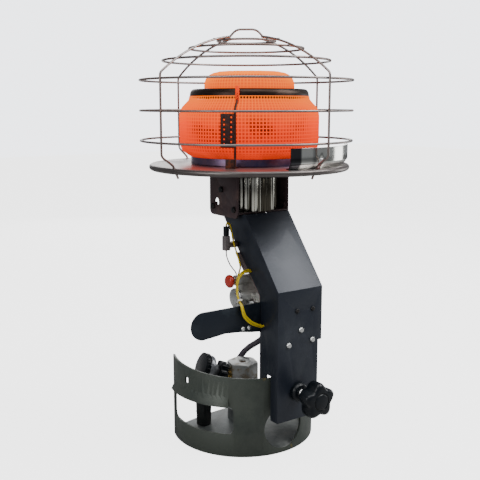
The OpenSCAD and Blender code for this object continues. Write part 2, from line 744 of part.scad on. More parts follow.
module button_spring() {
    steps = 12;
    mid = stem_r + 1.1;
    x1 = barrel_left - 0.8;
    x0 = barrel_left - button_gap + 0.8;
    color(bright) at_head() translate([0, valve_y, button_z])
        lead([for (k = [0 : spring_turns * steps])
            let(a = 360 * k / steps) [x0 + (x1 - x0) * k / (spring_turns * steps), mid * cos(a), mid * sin(a)]],
            1, 1, 6);
}

// Tilt switch and leads
cap_h = 13;
module tilt_switch() {
    color([0.5, 0.47, 0.47]) at_head() translate(switch_at) cube(switch_size);
}
module tilt_switch_cap() {
    color(black) at_head() translate([switch_at[0] + 1, switch_at[1] + 1, switch_at[2] + switch_size[2] + seat])
        cube([switch_size[0] - 2, switch_size[1] - 2, cap_h]);
}
yellow_d = 2.6;
pair_d = 4.6;
yellow_thin = [[-53.8, -22.8, 309.4], [-52.5, -23, 313], [-48, -23, 311], [-45, -23, 300], [-43.8, -27, 284],
               [-44, -38, 266], [-46, -45, 256], [-49, -47, 250], [-49, -45, 245.5]];
yellow_loop = [[-34.4, -53, 250.5], [-41, -54, 251.5], [-50, -56, 250], [-58, -59, 245.5], [-62, -61, 238],
               [-63, -62.5, 230], [-65, -66.5, 222.5], [-66.5, -73.5, 217.2], [-67, -79.3, 211.8],
               [-66.5, -81.5, 205], [-63, -81.8, 197], [-52.5, -81.8, 187.5], [-40, -82, 181.5], [-34.4, -82, 180]];
module yellow_leads() {
    color(yellow) at_head() {
        lead(yellow_thin, yellow_d, 2);
        lead(yellow_loop, pair_d, 3);
    }
}
grey_points = [[-53.8, -23, 275.8], [-54, -24, 268], [-53, -31, 257], [-51.5, -41, 249.5],
               [-51, -43.5, 245.4]];
module grey_lead() { color([0.5, 0.45, 0.47]) at_head() lead(grey_points, 1.8, 2); }
module lead_tie() {
    color([0.85, 0.85, 0.82]) at_head() translate([-66.5, -73.5, 217.2]) rotate([0, 51.7, 79.3]) difference() {
        cube([6.5, 6.5, 2.6], center = true);
        cube([5.7, 5.7, 4], center = true);
    }
}
pipe_points = [[-22.6, -44, 238], [-14, -42, 241], [-8, -32, 255], [-4, -18, 272], [-1.5, -6, 284],
               [0, -0.6, jet_low - 5], [0, 0, jet_low - 0.3]];
module gas_pipe() { color(zinc) at_head() lead(pipe_points, 6, 3, 10); }

// Clamp
pad_r = 11;
pad_h = 4;
pad_y = collar_dy - collar_r - free;      // the pad's face, in front of the collar's wall
pad_cap = 1.5;
stud_end = pad_y - pad_cap - seat;
knob_y = -(knob_end - knob_len);
module clamp_boss() {
    color(black) at_head() translate([0, -face_reach - seat, clamp_z]) rotate([90, 0, 0]) difference() {
        union() {
            cylinder(r = boss_r, h = boss_h * 0.6);
            translate([0, 0, boss_h * 0.6]) cylinder(r1 = boss_r, r2 = boss_r * 0.82, h = boss_h * 0.4);
        }
        translate([0, 0, -over]) cylinder(r = stud_r + run, h = boss_h + 2 * over);
    }
}
module clamp_pad() {
    color(zinc) at_head() translate([0, pad_y, clamp_z]) rotate([90, 0, 0]) difference() {
        cylinder(r = pad_r, h = pad_h);
        translate([0, 0, pad_cap]) cylinder(r = stud_r + run, h = pad_h);
    }
}
lobe_r = 9;
notch_r = 13;
module clamp_knob() {
    ring = knob_d / 2 - lobe_r;
    color(black) at_head() translate([0, knob_y, clamp_z]) rotate([90, 0, 0]) {
        difference() {
            cylinder(d = knob_d, h = knob_len);
            for (i = [0 : knob_lobes - 1]) rotate([0, 0, 360 * (i + 0.5) / knob_lobes])
                translate([knob_d / 2 + notch_r * 0.45, 0, -over])
                    cylinder(r = notch_r, h = knob_len + 2 * over);
        }
        translate([0, 0, -knob_neck]) cylinder(r1 = boss_r * 0.72, r2 = ring * 1.05, h = knob_neck);
        translate([0, 0, knob_len]) cylinder(r = ring * 0.62, h = knob_cap);
        translate([0, 0, knob_y - stud_end]) cylinder(r = stud_r, h = stud_end - knob_y);
    }
}

// Collar: its rim climbs towards its ends, and each side has a hand-hold with a flared lip
hold_low = 32;
hold_top = 72;
hold_round = 9;
hold_near = 41.5;
hold_far = 107;
lip_out = 5;
lip_h = 14;
wall_fn = 96;
module sector(a0, a1, r0, r1, z0, z1) {
    around(a0) rotate_extrude(angle = a1 - a0, $fn = wall_fn)
        translate([r0, z0]) square([r1 - r0, z1 - z0]);
}
module hand_hold() {
    r1 = collar_r + lip_out + over;
    r0 = collar_r - collar_t - over;
    da = hold_round / collar_r * 180 / PI;
    sector(hold_near, hold_far, r0, r1, hold_low + hold_round, hold_top - hold_round);
    sector(hold_near + da, hold_far - da, r0, r1, hold_low, hold_top);
    for (a = [hold_near + da, hold_far - da]) for (z = [hold_low + hold_round, hold_top - hold_round])
        around(a) translate([r0, 0, z]) rotate([0, 90, 0]) cylinder(r = hold_round, h = r1 - r0);
}
slit_at = 84;
slit = [7, 9];
slit_z = 92;
module collar() {
    inner = collar_r - collar_t;
    back = -collar_r * cos(collar_wrap);
    tilt = atan(collar_rise / (collar_r + back));
    top = collar_h + collar_rise;
    color(olive) at_collar() difference() {
        union() {
            around(-collar_wrap) rotate_extrude(angle = 2 * collar_wrap, $fn = wall_fn)
                translate([inner, 0]) square([collar_t, top + over]);
            for (s = [0, 1]) mirror([s, 0, 0]) around(hold_near + 4)
                rotate_extrude(angle = hold_far - hold_near - 4, $fn = wall_fn) polygon([
                    [collar_r - 1, hold_top + lip_h], [collar_r, hold_top + lip_h],
                    [collar_r + lip_out * 0.35, hold_top + lip_h * 0.45], [collar_r + lip_out, hold_top],
                    [collar_r + lip_out - 2, hold_top], [collar_r - 1, hold_top + 1]
                ]);
        }
        for (s = [0, 1]) mirror([s, 0, 0]) {
            hand_hold();
            around(slit_at) translate([inner - over, -slit[0] / 2, slit_z])
                cube([collar_t + 2 * over, slit[0], slit[1]]);
        }
        translate([0, -inner + 2 * collar_t, port_r + 6]) rotate([90, 0, 0])
            cylinder(r = port_r, h = 4 * collar_t + over);
        translate([0, -collar_r, collar_h]) rotate([tilt, 0, 0])
            translate([-2 * collar_r, -collar_r, 0]) cube([4 * collar_r, 4 * collar_r, collar_r]);
    }
}
crown_t = 3;
crown_top = 15;
crown_rim = 5;
crown_cut = 45;
boss_top = 32;
neck_r = 15;
module crown_plate() {
    r = collar_r - collar_t - free / 2;
    drop = crown_top - crown_rim;
    ball = (r * r + drop * drop) / (2 * drop);
    color([0.42, 0.44, 0.44]) at_collar() difference() {
        union() {
            intersection() {
                translate([0, 0, crown_top - ball]) difference() {
                    sphere(r = ball, $fn = 128);
                    sphere(r = ball - crown_t, $fn = 128);
                }
                translate([0, 0, 0]) cylinder(r = r, h = crown_top + over, $fn = wall_fn);
            }
            translate([0, 0, crown_top - crown_t]) cylinder(r = neck_r + 7, h = boss_top - crown_top + crown_t);
        }
        translate([0, 0, -over]) cylinder(r = neck_r - 2 + run, h = boss_top + 2 * over);
        translate([-collar_r, crown_cut, -over]) cube([2 * collar_r, collar_r, boss_top]);
    }
}
hex_low = hex_top - hex_h;
plug_r = 5;
plug_deep = 4;
module valve_neck() {
    color(brass) at_collar() {
        translate([0, 0, crown_rim]) cylinder(r = neck_r - 3, h = crown_top - crown_rim);
        translate([0, 0, crown_top - crown_t]) cylinder(r = neck_r - 2, h = boss_top - crown_top + crown_t + over);
        translate([0, 0, boss_top + seat]) cylinder(r = neck_r, h = hex_low - boss_top - 2 * seat);
    }
}
hex_turn = 15.5;
hex_chamfer = 2;
module hex_bar(grow) {
    rotate([0, 0, hex_turn]) cylinder(d = hex_d + 2 * grow, h = hex_h, $fn = 6);
}
module valve_block() {
    color(zinc) at_collar() translate([0, 0, hex_low]) difference() {
        intersection() {
            hex_bar(0);
            union() {
                cylinder(d = hex_d + over, h = hex_h - hex_chamfer);
                translate([0, 0, hex_h - hex_chamfer])
                    cylinder(d1 = hex_d + over, d2 = hex_d * 0.93, h = hex_chamfer);
            }
        }
        translate([0, 0, hex_h - plug_deep]) cylinder(r = plug_r + run, h = plug_deep + over);
    }
}
module valve_plug() {
    slot = 1.4;
    color([0.45, 0.33, 0.2]) at_collar() translate([0, 0, hex_top - plug_deep + seat]) difference() {
        cylinder(r = plug_r, h = plug_deep * 0.6);
        translate([-plug_r - over, -slot / 2, plug_deep * 0.3]) cube([2 * plug_r + 2 * over, slot, plug_deep]);
    }
}

// Outlet, hand nut and regulator lie on one axis that leaves the block's left flank and climbs
outlet_turn = -104.5;
outlet_tilt = 22;
outlet_z = 75;
outlet_start = 12;
outlet_len = 23;
module along_outlet() {
    translate([0, 0, outlet_z]) around(outlet_turn) rotate([0, 90 - outlet_tilt, 0]) children();
}
outlet_r = 9.5;
nozzle_r = 6;
module brass_outlet() {
    groove = 4;
    color(brass) at_collar() difference() {
        along_outlet() {
            translate([0, 0, outlet_start]) cylinder(r = outlet_r, h = outlet_len - 6);
            for (i = [0 : 2]) translate([0, 0, outlet_start + outlet_len - 8 - i * groove])
                cylinder(r = outlet_r + 1.5, h = groove * 0.55);
            translate([0, 0, outlet_start]) cylinder(r = nozzle_r, h = stem_start - seat - outlet_start);
        }
        translate([0, 0, hex_low]) hex_bar(seat);
        translate([0, 0, hex_low - hex_h + over]) hex_bar(seat);
    }
}
nut_start = outlet_start + outlet_len - 5;
nut_len = 12;
module hand_nut() {
    nut_d = 32;
    color(black) at_collar() along_outlet() translate([0, 0, nut_start]) difference() {
        cylinder(d = nut_d, h = nut_len);
        translate([0, 0, -over]) cylinder(r = nozzle_r + run, h = nut_len + 2 * over);
        for (i = [0 : 5]) rotate([0, 0, 60 * i]) translate([nut_d / 2 + 2, 0, -over])
            cylinder(r = 5.5, h = nut_len + 2 * over);
    }
}
stem_start = nut_start + nut_len + seat;
disc_start = stem_start + 10;
disc_len = 9;
ring_len = 8;
pivot_r = 5;
module regulator_body() {
    color([0.5, 0.52, 0.54]) at_collar() along_outlet() {
        translate([0, 0, stem_start]) cylinder(r1 = 8, r2 = 10.5, h = disc_start - stem_start + 1);
        translate([0, 0, disc_start]) cylinder(r1 = regulator_r - 2, r2 = regulator_r, h = 3);
        translate([0, 0, disc_start + 3]) cylinder(r = regulator_r, h = disc_len - 3);
        translate([0, 0, disc_start]) cylinder(r = pivot_r, h = disc_len + ring_len * 0.6);
    }
}
module regulator_ring() {
    ribs = 24;
    color(black) at_collar() along_outlet() translate([0, 0, disc_start + disc_len + seat]) difference() {
        cylinder(r = regulator_r + 1.5, h = ring_len);
        translate([0, 0, -over]) cylinder(r = pivot_r + run, h = ring_len * 0.6 + over);
        for (i = [0 : ribs - 1]) rotate([0, 0, 360 * i / ribs])
            translate([regulator_r + 2.2, 0, -over]) cylinder(r = 1.2, h = ring_len + 2 * over, $fn = 16);
    }
}
leg_at = [-57, 17];
leg_r = 12;
leg_low = 12.5;
leg_top = 82;
module regulator_leg() {
    collar_h_share = 0.22;
    h = leg_top - leg_low;
    color(black) at_collar() difference() {
        translate([leg_at[0], leg_at[1], leg_low]) {
            cylinder(r1 = leg_r * 0.86, r2 = leg_r, h = h * (1 - collar_h_share));
            translate([0, 0, h * (1 - collar_h_share)]) cylinder(r = leg_r * 0.8, h = h * collar_h_share);
        }
        along_outlet() translate([0, 0, disc_start - 2 * leg_r])
            cylinder(r = regulator_r + 2, h = disc_len + ring_len + 4 * leg_r);
    }
}
// Route of the gas hose, about the head's axis: from the leg, behind the valve and up into the casing
hose_points = [[-64, 33.2, 24], [-60, 42, 25], [-45, 46, 28], [-24, 48, 42], [-2, 44, 72], [14, 30, 106],
               [28, 12, 124], [30, -12, 146], [18, -34, 172], [4, -44, 198], [-6, -44, 212],
               [-19.8, -44, 213]];
module gas_hose() { color([0.36, 0.33, 0.38]) at_head() lead(hose_points, hose_d, 3, 10); }

guard_upright_1();
guard_upright_2();
guard_upright_3();
guard_upright_4();
guard_ring_1();
guard_ring_2();
guard_ring_3();
guard_ring_4();
guard_ring_5();
guard_ring_6();
guard_loop();
deflector_plate();
burner_base();
inner_burner_tube();
emitter_drum();
emitter_band();
emitter_dome();
pilot_shield();
probe_rod();
probe_bracket();
reflector_shield();
head_bracket();
bracket_screws();
burner_throat();
mixing_tube();
gas_jet();
gas_pipe();
neck_plate();
front_cover();
cover_screws();
cover_rivets();
support_plate();
side_arm();
arm_screws();
valve_body();
valve_flange();
magnet_nut();
valve_button();
button_spring();
tilt_switch();
tilt_switch_cap();
yellow_leads();
grey_lead();
lead_tie();
clamp_boss();
clamp_pad();
clamp_knob();
collar();
crown_plate();
valve_neck();
valve_block();
valve_plug();
brass_outlet();
hand_nut();
regulator_body();
regulator_ring();
regulator_leg();
gas_hose();
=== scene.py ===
# %% [markdown]
# This lesson dresses the solids of a gas heater that sits on a cylinder's collar.
# The solids come in as a fixed frame, in metres, and nothing of them is moved.
# Every visible piece then gets its real shape, its finish and the body that it moves with.

# %% The frame
import math

import bpy
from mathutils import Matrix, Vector


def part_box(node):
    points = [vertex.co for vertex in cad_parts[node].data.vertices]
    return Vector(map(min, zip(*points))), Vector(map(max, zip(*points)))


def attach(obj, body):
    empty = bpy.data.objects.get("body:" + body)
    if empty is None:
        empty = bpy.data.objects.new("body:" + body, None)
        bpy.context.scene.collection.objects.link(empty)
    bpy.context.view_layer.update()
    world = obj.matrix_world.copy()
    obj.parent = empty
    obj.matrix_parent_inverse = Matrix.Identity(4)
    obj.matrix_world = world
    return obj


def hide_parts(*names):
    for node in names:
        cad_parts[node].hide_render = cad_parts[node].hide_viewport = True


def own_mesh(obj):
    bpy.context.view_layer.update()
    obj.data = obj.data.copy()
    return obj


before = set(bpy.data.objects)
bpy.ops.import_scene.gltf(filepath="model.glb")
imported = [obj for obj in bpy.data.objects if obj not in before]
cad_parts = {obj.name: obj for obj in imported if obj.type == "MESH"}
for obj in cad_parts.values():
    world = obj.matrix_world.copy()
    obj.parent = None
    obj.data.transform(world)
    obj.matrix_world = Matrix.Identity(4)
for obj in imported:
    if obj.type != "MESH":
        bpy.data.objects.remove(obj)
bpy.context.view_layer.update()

# %% [markdown]
# Two upright axes place everything: the head's, through the middle of the deflector plate,
# and the collar's, a little to its left and behind. Both are read from the solids.

# %% The two axes
plate_low, plate_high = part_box("deflector_plate")
HX, HY = (plate_low.x + plate_high.x) / 2, (plate_low.y + plate_high.y) / 2
HEAD = (HX, HY)
PLATE = plate_high.z
plug_low, plug_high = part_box("valve_plug")
CX, CY = (plug_low.x + plug_high.x) / 2, (plug_low.y + plug_high.y) / 2
print("head axis at", round(HX, 4), round(HY, 4), "collar axis at", round(CX, 4), round(CY, 4),
      "plate top", round(PLATE, 4))

# %% [markdown]
# The camera stands where the photographer stood: to the front left, a little above the heater,
# looking down by ten degrees. Its place is measured from the collar's axis, and place and lens were
# fitted to the guard's rings, the plate and the collar's lower rim.

# %% Camera
LENS = 56.4
CAMERA_LEFT, CAMERA_FRONT, CAMERA_HEIGHT = 0.60005, 0.8665, 0.471
CAMERA_TILT, CAMERA_TURN = 79.8, -34.5
camera_data = bpy.data.cameras.new("camera")
camera_data.sensor_width = 36
camera_data.lens = LENS
camera = bpy.data.objects.new("camera", camera_data)
bpy.context.collection.objects.link(camera)
camera.location = (CX - CAMERA_LEFT, CY - CAMERA_FRONT, CAMERA_HEIGHT)
camera.rotation_euler = (math.radians(CAMERA_TILT), 0, math.radians(CAMERA_TURN))
bpy.context.scene.camera = camera

# %% [markdown]
# Small helpers keep the steps short. An operator acts on everything that is selected,
# so each one starts by deselecting, and edges and faces are picked by where they are.


# %% Helpers for picking and finishing
def deselect():
    bpy.ops.object.select_all(action="DESELECT")


def only(obj):
    deselect()
    obj.select_set(True)
    bpy.context.view_layer.objects.active = obj
    return obj


def edit(obj):
    only(obj)
    bpy.ops.object.mode_set(mode="EDIT")
    bpy.ops.mesh.select_all(action="SELECT")


def leave():
    bpy.ops.object.mode_set(mode="OBJECT")


def pick(obj, test, kind="VERT"):
    """Selects the vertices or faces whose place passes the test."""
    bpy.ops.mesh.select_mode(type=kind)
    bpy.ops.mesh.select_all(action="DESELECT")
    leave()
    items = obj.data.vertices if kind == "VERT" else obj.data.polygons
    for item in items:
        item.select = bool(test(item))
    bpy.ops.object.mode_set(mode="EDIT")


def apply_modifier(obj, kind, **settings):
    only(obj)
    m = obj.modifiers.new(kind.lower(), kind)
    for key, value in settings.items():
        setattr(m, key, value)
    bpy.ops.object.modifier_apply(modifier=m.name)
    return obj


def smooth(obj, angle=35):
    only(obj)
    bpy.ops.object.shade_smooth_by_angle(angle=math.radians(angle))
    return obj


def finished(obj, name, material, body="heater", stands_for=()):
    """Puts the piece's place into its mesh, and gives it a name, a finish and a body."""
    only(obj)
    bpy.ops.object.transform_apply(location=True, rotation=True, scale=True)
    obj.name = name
    obj.data.name = name
    obj.data.materials.clear()
    obj.data.materials.append(material)
    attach(obj, body)
    if stands_for:
        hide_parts(*stands_for)
    return obj


# %% [markdown]
# A sheet-metal or cast piece never has a knife-sharp edge. This helper takes a copy of a solid's
# mesh, joins its loose triangles into faces and rounds its edges, so that they catch the light.


# %% Helper for softened copies
JOIN_WITHIN = 1e-5      # corners closer than this are one
FLAT_WITHIN = 0.5       # degrees between faces that are really one face
SHARP_FROM = 32         # degrees from which an edge is rounded


def softened(node, name, material, width, body="heater", segments=2):
    obj = bpy.data.objects.new(name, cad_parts[node].data.copy())
    bpy.context.collection.objects.link(obj)
    edit(obj)
    bpy.ops.mesh.remove_doubles(threshold=JOIN_WITHIN)
    bpy.ops.mesh.dissolve_limited(angle_limit=math.radians(FLAT_WITHIN))
    leave()
    if width:
        apply_modifier(obj, "BEVEL", width=width, segments=segments, limit_method="ANGLE",
                       angle_limit=math.radians(SHARP_FROM), use_clamp_overlap=True, harden_normals=False)
    smooth(obj, 40)
    return finished(obj, name, material, body, (node,))


# %% [markdown]
# A turned piece is one outline spun about an upright axis. The outline starts as a single point,
# made by merging a small plane, and is extruded from corner to corner before the spin.


# %% Helper for turned pieces
def turned(outline, centre, steps):
    x, y = centre
    start = Vector((x + outline[0][0], y, outline[0][1]))
    deselect()
    bpy.ops.mesh.primitive_plane_add(size=0.001, location=start)
    obj = bpy.context.object
    bpy.ops.object.mode_set(mode="EDIT")
    bpy.ops.mesh.select_all(action="SELECT")
    bpy.ops.mesh.merge(type="CENTER")
    for a, b in zip(outline, outline[1:]):
        bpy.ops.mesh.extrude_region_move(TRANSFORM_OT_translate={"value": (b[0] - a[0], 0, b[1] - a[1])})
    bpy.ops.mesh.select_all(action="SELECT")
    bpy.ops.mesh.spin(steps=steps, angle=2 * math.pi, center=(x, y, 0), axis=(0, 0, 1))
    bpy.ops.mesh.select_all(action="SELECT")
    bpy.ops.mesh.remove_doubles(threshold=2e-5)
    bpy.ops.mesh.normals_make_consistent(inside=False)
    leave()
    return obj


# %% [markdown]
# The finishes share three effects: a fine grain, slow stains and stretched noise; the stretched noise also paints the
# reflection bands on the chrome and the aluminium.
# Each is a node group with named inputs, so that every metal and plastic sets its own amounts.


# %% Shared effects
def new_group(name, inputs, outputs):
    group = bpy.data.node_groups.new(name, "ShaderNodeTree")
    for label, kind, value in inputs:
        socket = group.interface.new_socket(name=label, in_out="INPUT", socket_type=kind)
        socket.default_value = value
    for label, kind in outputs:
        group.interface.new_socket(name=label, in_out="OUTPUT", socket_type=kind)
    return group, group.nodes.new("NodeGroupInput"), group.nodes.new("NodeGroupOutput")


def stains_group():
    number = "NodeSocketFloat"
    group, into, out = new_group("stains", [("Scale", number, 20), ("Start", number, 0.5), ("End", number, 0.7)],
                                 [("Mask", number)])
    n, link = group.nodes, group.links.new
    where = n.new("ShaderNodeTexCoord")
    noise = n.new("ShaderNodeTexNoise")
    noise.inputs["Detail"].default_value = 6
    noise.inputs["Roughness"].default_value = 0.62
    ramp = n.new("ShaderNodeMapRange")
    link(where.outputs["Object"], noise.inputs["Vector"])
    link(into.outputs["Scale"], noise.inputs["Scale"])
    link(noise.outputs["Fac"], ramp.inputs["Value"])
    link(into.outputs["Start"], ramp.inputs["From Min"])
    link(into.outputs["End"], ramp.inputs["From Max"])
    link(ramp.outputs["Result"], out.inputs["Mask"])
    return group


def stretched_noise_group():
    group, into, out = new_group("stretched_noise", [("Scale", "NodeSocketFloat", 60),
                                               ("Stretch", "NodeSocketVector", (1, 1, 12))],
                                 [("Height", "NodeSocketFloat")])
    n, link = group.nodes, group.links.new
    where = n.new("ShaderNodeTexCoord")
    stretch = n.new("ShaderNodeVectorMath")
    stretch.operation = "MULTIPLY"
    noise = n.new("ShaderNodeTexNoise")
    noise.inputs["Detail"].default_value = 3
    link(where.outputs["Object"], stretch.inputs[0])
    link(into.outputs["Stretch"], stretch.inputs[1])
    link(stretch.outputs["Vector"], noise.inputs["Vector"])
    link(into.outputs["Scale"], noise.inputs["Scale"])
    link(noise.outputs["Fac"], out.inputs["Height"])
    return group


def effect(n, group, *values):
    """One use of a shared effect, with its inputs set in order."""
    node = n.new("ShaderNodeGroup")
    node.node_tree = group
    for socket, value in zip(node.inputs, values):
        socket.default_value = value
    return node


STAINS = stains_group()
STRETCHED_NOISE = stretched_noise_group()


# %% [markdown]
# One recipe covers most finishes. A base colour is mixed with a second one where the stains are,
# the stains also change the gloss, and fine stretched noise gives the surface its grain.
# Streaks are a third colour under a stretched mask: painted dark reflections on the chrome and the aluminium, real
# streaks on the collar. The darkened end adds one end of the piece to that mask, a painted darker reflection.


# %% The common finish
def finish_of(name, colour, second, metal, rough, stain, rough_stain=0.15,
              grain=(400, (1, 1, 1), 0.05), coat=0.0, shine=0.4, streaks_and_painted_reflections=None, painted_dark_end=None):
    """stain is scale, start and end; grain is scale, stretch and strength; the streaks are colour, scale, stretch,
    start and end, painted dark reflections on chrome and aluminium and real streaks on the collar; the darkened end is
    the two x between which a painted darker reflection fades out."""
    m = bpy.data.materials.new(name)
    m.use_nodes = True
    n, link = m.node_tree.nodes, m.node_tree.links.new
    shader = n["Principled BSDF"]
    shader.inputs["Metallic"].default_value = metal
    shader.inputs["Coat Weight"].default_value = coat
    shader.inputs["Specular IOR Level"].default_value = shine
    spots = effect(n, STAINS, *stain)
    mix = n.new("ShaderNodeMix")
    mix.data_type = "RGBA"
    mix.inputs["A"].default_value = (*colour, 1)
    mix.inputs["B"].default_value = (*second, 1)
    link(spots.outputs["Mask"], mix.inputs["Factor"])
    paint = mix.outputs["Result"]
    # The streaks: on chrome and aluminium a painted dark reflection, on the collar real streaks.
    if streaks_and_painted_reflections:
        streak_and_reflection_colour, scale, stretch, start, end = streaks_and_painted_reflections
        upright = effect(n, STRETCHED_NOISE, scale, stretch)
        edge = n.new("ShaderNodeMapRange")
        edge.inputs["From Min"].default_value = start
        edge.inputs["From Max"].default_value = end
        over = n.new("ShaderNodeMix")
        over.data_type = "RGBA"
        over.inputs["B"].default_value = (*streak_and_reflection_colour, 1)
        link(upright.outputs["Height"], edge.inputs["Value"])
        mask = edge.outputs["Result"]
        # The darkened end is a painted darker reflection on one end of the piece.
        if painted_dark_end:
            where = n.new("ShaderNodeTexCoord")
            part = n.new("ShaderNodeSeparateXYZ")
            fade = n.new("ShaderNodeMapRange")
            for label, value in zip(("From Min", "From Max", "To Min", "To Max"), (*painted_dark_end, 1, 0)):
                fade.inputs[label].default_value = value
            larger = n.new("ShaderNodeMath")
            larger.operation = "MAXIMUM"
            link(where.outputs["Object"], part.inputs["Vector"])
            link(part.outputs["X"], fade.inputs["Value"])
            link(fade.outputs["Result"], larger.inputs[0])
            link(mask, larger.inputs[1])
            mask = larger.outputs["Value"]
        link(mask, over.inputs["Factor"])
        link(paint, over.inputs["A"])
        paint = over.outputs["Result"]
    link(paint, shader.inputs["Base Color"])
    gloss = n.new("ShaderNodeMapRange")
    gloss.inputs["To Min"].default_value = rough
    gloss.inputs["To Max"].default_value = min(1, rough + rough_stain)
    link(spots.outputs["Mask"], gloss.inputs["Value"])
    link(gloss.outputs["Result"], shader.inputs["Roughness"])
    lines = effect(n, STRETCHED_NOISE, grain[0], grain[1])
    bump = n.new("ShaderNodeBump")
    bump.inputs["Strength"].default_value = grain[2]
    bump.inputs["Distance"].default_value = 0.001
    link(lines.outputs["Height"], bump.inputs["Height"])
    link(bump.outputs["Normal"], shader.inputs["Normal"])
    return m


guard_steel = finish_of("guard steel", (0.23, 0.21, 0.2), (0.26, 0.17, 0.14), 0.9, 0.34,
                        (9, 0.46, 0.7), 0.12, (260, (1, 1, 1), 0.12))
plate_steel = finish_of("plate steel", (0.34, 0.31, 0.3), (0.2, 0.17, 0.17), 0.95, 0.34,
                        (14, 0.48, 0.75), 0.14, (300, (1, 1, 1), 0.05))
# The rim steel is the plate's steel darkened: a painted shade for the rim and the underside.
painted_shade_rim_steel = finish_of("rim steel", (0.13, 0.115, 0.11), (0.08, 0.068, 0.066), 0.9, 0.36,
                      (20, 0.45, 0.7), 0.14, (300, (1, 1, 1), 0.05))
heat_blued = finish_of("heat blued steel", (0.06, 0.05, 0.12), (0.16, 0.1, 0.14), 0.9, 0.28,
                       (16, 0.42, 0.62), 0.15)
band_steel = finish_of("band steel", (0.032, 0.02, 0.015), (0.075, 0.048, 0.037), 0.9, 0.38,
                       (26, 0.5, 0.72), 0.14, (350, (1, 1, 6), 0.1))
scaled_steel = finish_of("scaled steel", (0.03, 0.014, 0.013), (0.14, 0.035, 0.015), 0.6, 0.5,
                         (90, 0.52, 0.66), 0.2, (500, (1, 1, 1), 0.3), shine=0.3)
# The chrome's dark streaks and its darker end are painted reflections.
mirror_chrome = finish_of("mirror chrome", (0.6, 0.61, 0.57), (0.42, 0.43, 0.4), 1.0, 0.13,
                          (12, 0.5, 0.8), 0.12, (220, (1, 1, 1), 0.02),
                          streaks_and_painted_reflections=((0.06, 0.06, 0.065), 17, (1, 1, 0.03), 0.58, 0.62), painted_dark_end=(-0.012, -0.0095))
bracket_paint = finish_of("bracket paint", (0.05, 0.031, 0.033), (0.09, 0.055, 0.05), 0.3, 0.42,
                          (38, 0.5, 0.7), 0.15, (600, (1, 1, 1), 0.15), shine=0.3)
# The aluminium's dark upright streaks are painted reflections between the throat's flutes.
polished_aluminium = finish_of("polished aluminium", (0.55, 0.54, 0.48), (0.36, 0.33, 0.29), 1.0,
                               0.16, (30, 0.5, 0.8), 0.15, (260, (6, 6, 1), 0.08),
                               streaks_and_painted_reflections=((0.06, 0.055, 0.042), 130, (1, 1, 0.02), 0.49, 0.52))
black_screws = finish_of("black screws", (0.012, 0.012, 0.014), (0.04, 0.036, 0.033), 0.6, 0.38,
                         (120, 0.5, 0.7), shine=0.3)
zinc_screws = finish_of("zinc screws", (0.55, 0.56, 0.55), (0.28, 0.27, 0.24), 1.0, 0.25,
                        (120, 0.52, 0.7), 0.2)
casing_paint = finish_of("casing paint", (0.012, 0.016, 0.025), (0.027, 0.033, 0.043), 0.3, 0.4,
                         (24, 0.5, 0.78), 0.12, (900, (1, 1, 1), 0.08), coat=0.05, shine=0.45)
# The support plate is galvanized steel; its pinkish tint is a painted reflection.
support_steel = finish_of("support steel", (0.27, 0.215, 0.205), (0.13, 0.09, 0.085), 0.7, 0.4,
                          (40, 0.5, 0.7), 0.15, shine=0.35)
arm_paint = finish_of("arm paint", (0.009, 0.013, 0.02), (0.019, 0.026, 0.034), 0.3, 0.38,
                      (34, 0.5, 0.72), 0.15, (700, (1, 1, 1), 0.1), shine=0.35)
cast_zinc = finish_of("cast zinc", (0.5, 0.5, 0.475), (0.26, 0.25, 0.225), 0.75, 0.36,
                      (55, 0.48, 0.68), 0.2, (500, (1, 1, 1), 0.22))
stained_zinc = finish_of("stained zinc", (0.26, 0.265, 0.26), (0.2, 0.175, 0.135), 0.8, 0.36,
                         (70, 0.5, 0.62), 0.2, (500, (1, 1, 1), 0.2))
red_plastic = finish_of("red plastic", (0.42, 0.018, 0.006), (0.26, 0.012, 0.005), 0, 0.25,
                        (60, 0.5, 0.7), 0.1, (700, (1, 1, 1), 0.04), coat=0.3)
grey_plastic = finish_of("grey plastic", (0.15, 0.13, 0.13), (0.09, 0.08, 0.08), 0, 0.5,
                         (60, 0.5, 0.7))
black_plastic = finish_of("black plastic", (0.002, 0.0035, 0.0055), (0.005, 0.007, 0.009), 0, 0.3,
                          (45, 0.5, 0.72), 0.15, (700, (1, 1, 1), 0.1), coat=0.06, shine=0.22)
yellow_sleeve = finish_of("yellow sleeve", (0.55, 0.4, 0.004), (0.36, 0.24, 0.004), 0, 0.38,
                          (70, 0.5, 0.7), 0.15)
grey_sleeve = finish_of("grey sleeve", (0.16, 0.13, 0.14), (0.1, 0.08, 0.09), 0, 0.45, (70, 0.5, 0.7))
white_nylon = finish_of("white nylon", (0.55, 0.53, 0.46), (0.4, 0.38, 0.32), 0, 0.4, (90, 0.5, 0.7))
collar_paint = finish_of("collar paint", (0.056, 0.065, 0.054), (0.033, 0.042, 0.036), 0.3, 0.42,
                         (16, 0.44, 0.68), 0.16, (420, (1, 1, 1), 0.2), shine=0.4,
                         streaks_and_painted_reflections=((0.13, 0.105, 0.04), 42, (1, 1, 0.7), 0.69, 0.73))
crown_paint = finish_of("crown paint", (0.1, 0.11, 0.108), (0.2, 0.21, 0.2), 0.4, 0.42,
                        (22, 0.48, 0.7), 0.2, (420, (1, 1, 1), 0.2))
worn_brass = finish_of("worn brass", (0.42, 0.29, 0.09), (0.5, 0.44, 0.3), 1.0, 0.26,
                       (70, 0.5, 0.68), 0.2)
stained_brass = finish_of("stained brass", (0.16, 0.08, 0.035), (0.06, 0.035, 0.02), 0.7, 0.5,
                          (160, 0.45, 0.6))
grey_casting = finish_of("grey casting", (0.3, 0.31, 0.33), (0.42, 0.43, 0.44), 0.8, 0.34,
                         (60, 0.5, 0.7), 0.15, (600, (1, 1, 1), 0.15))
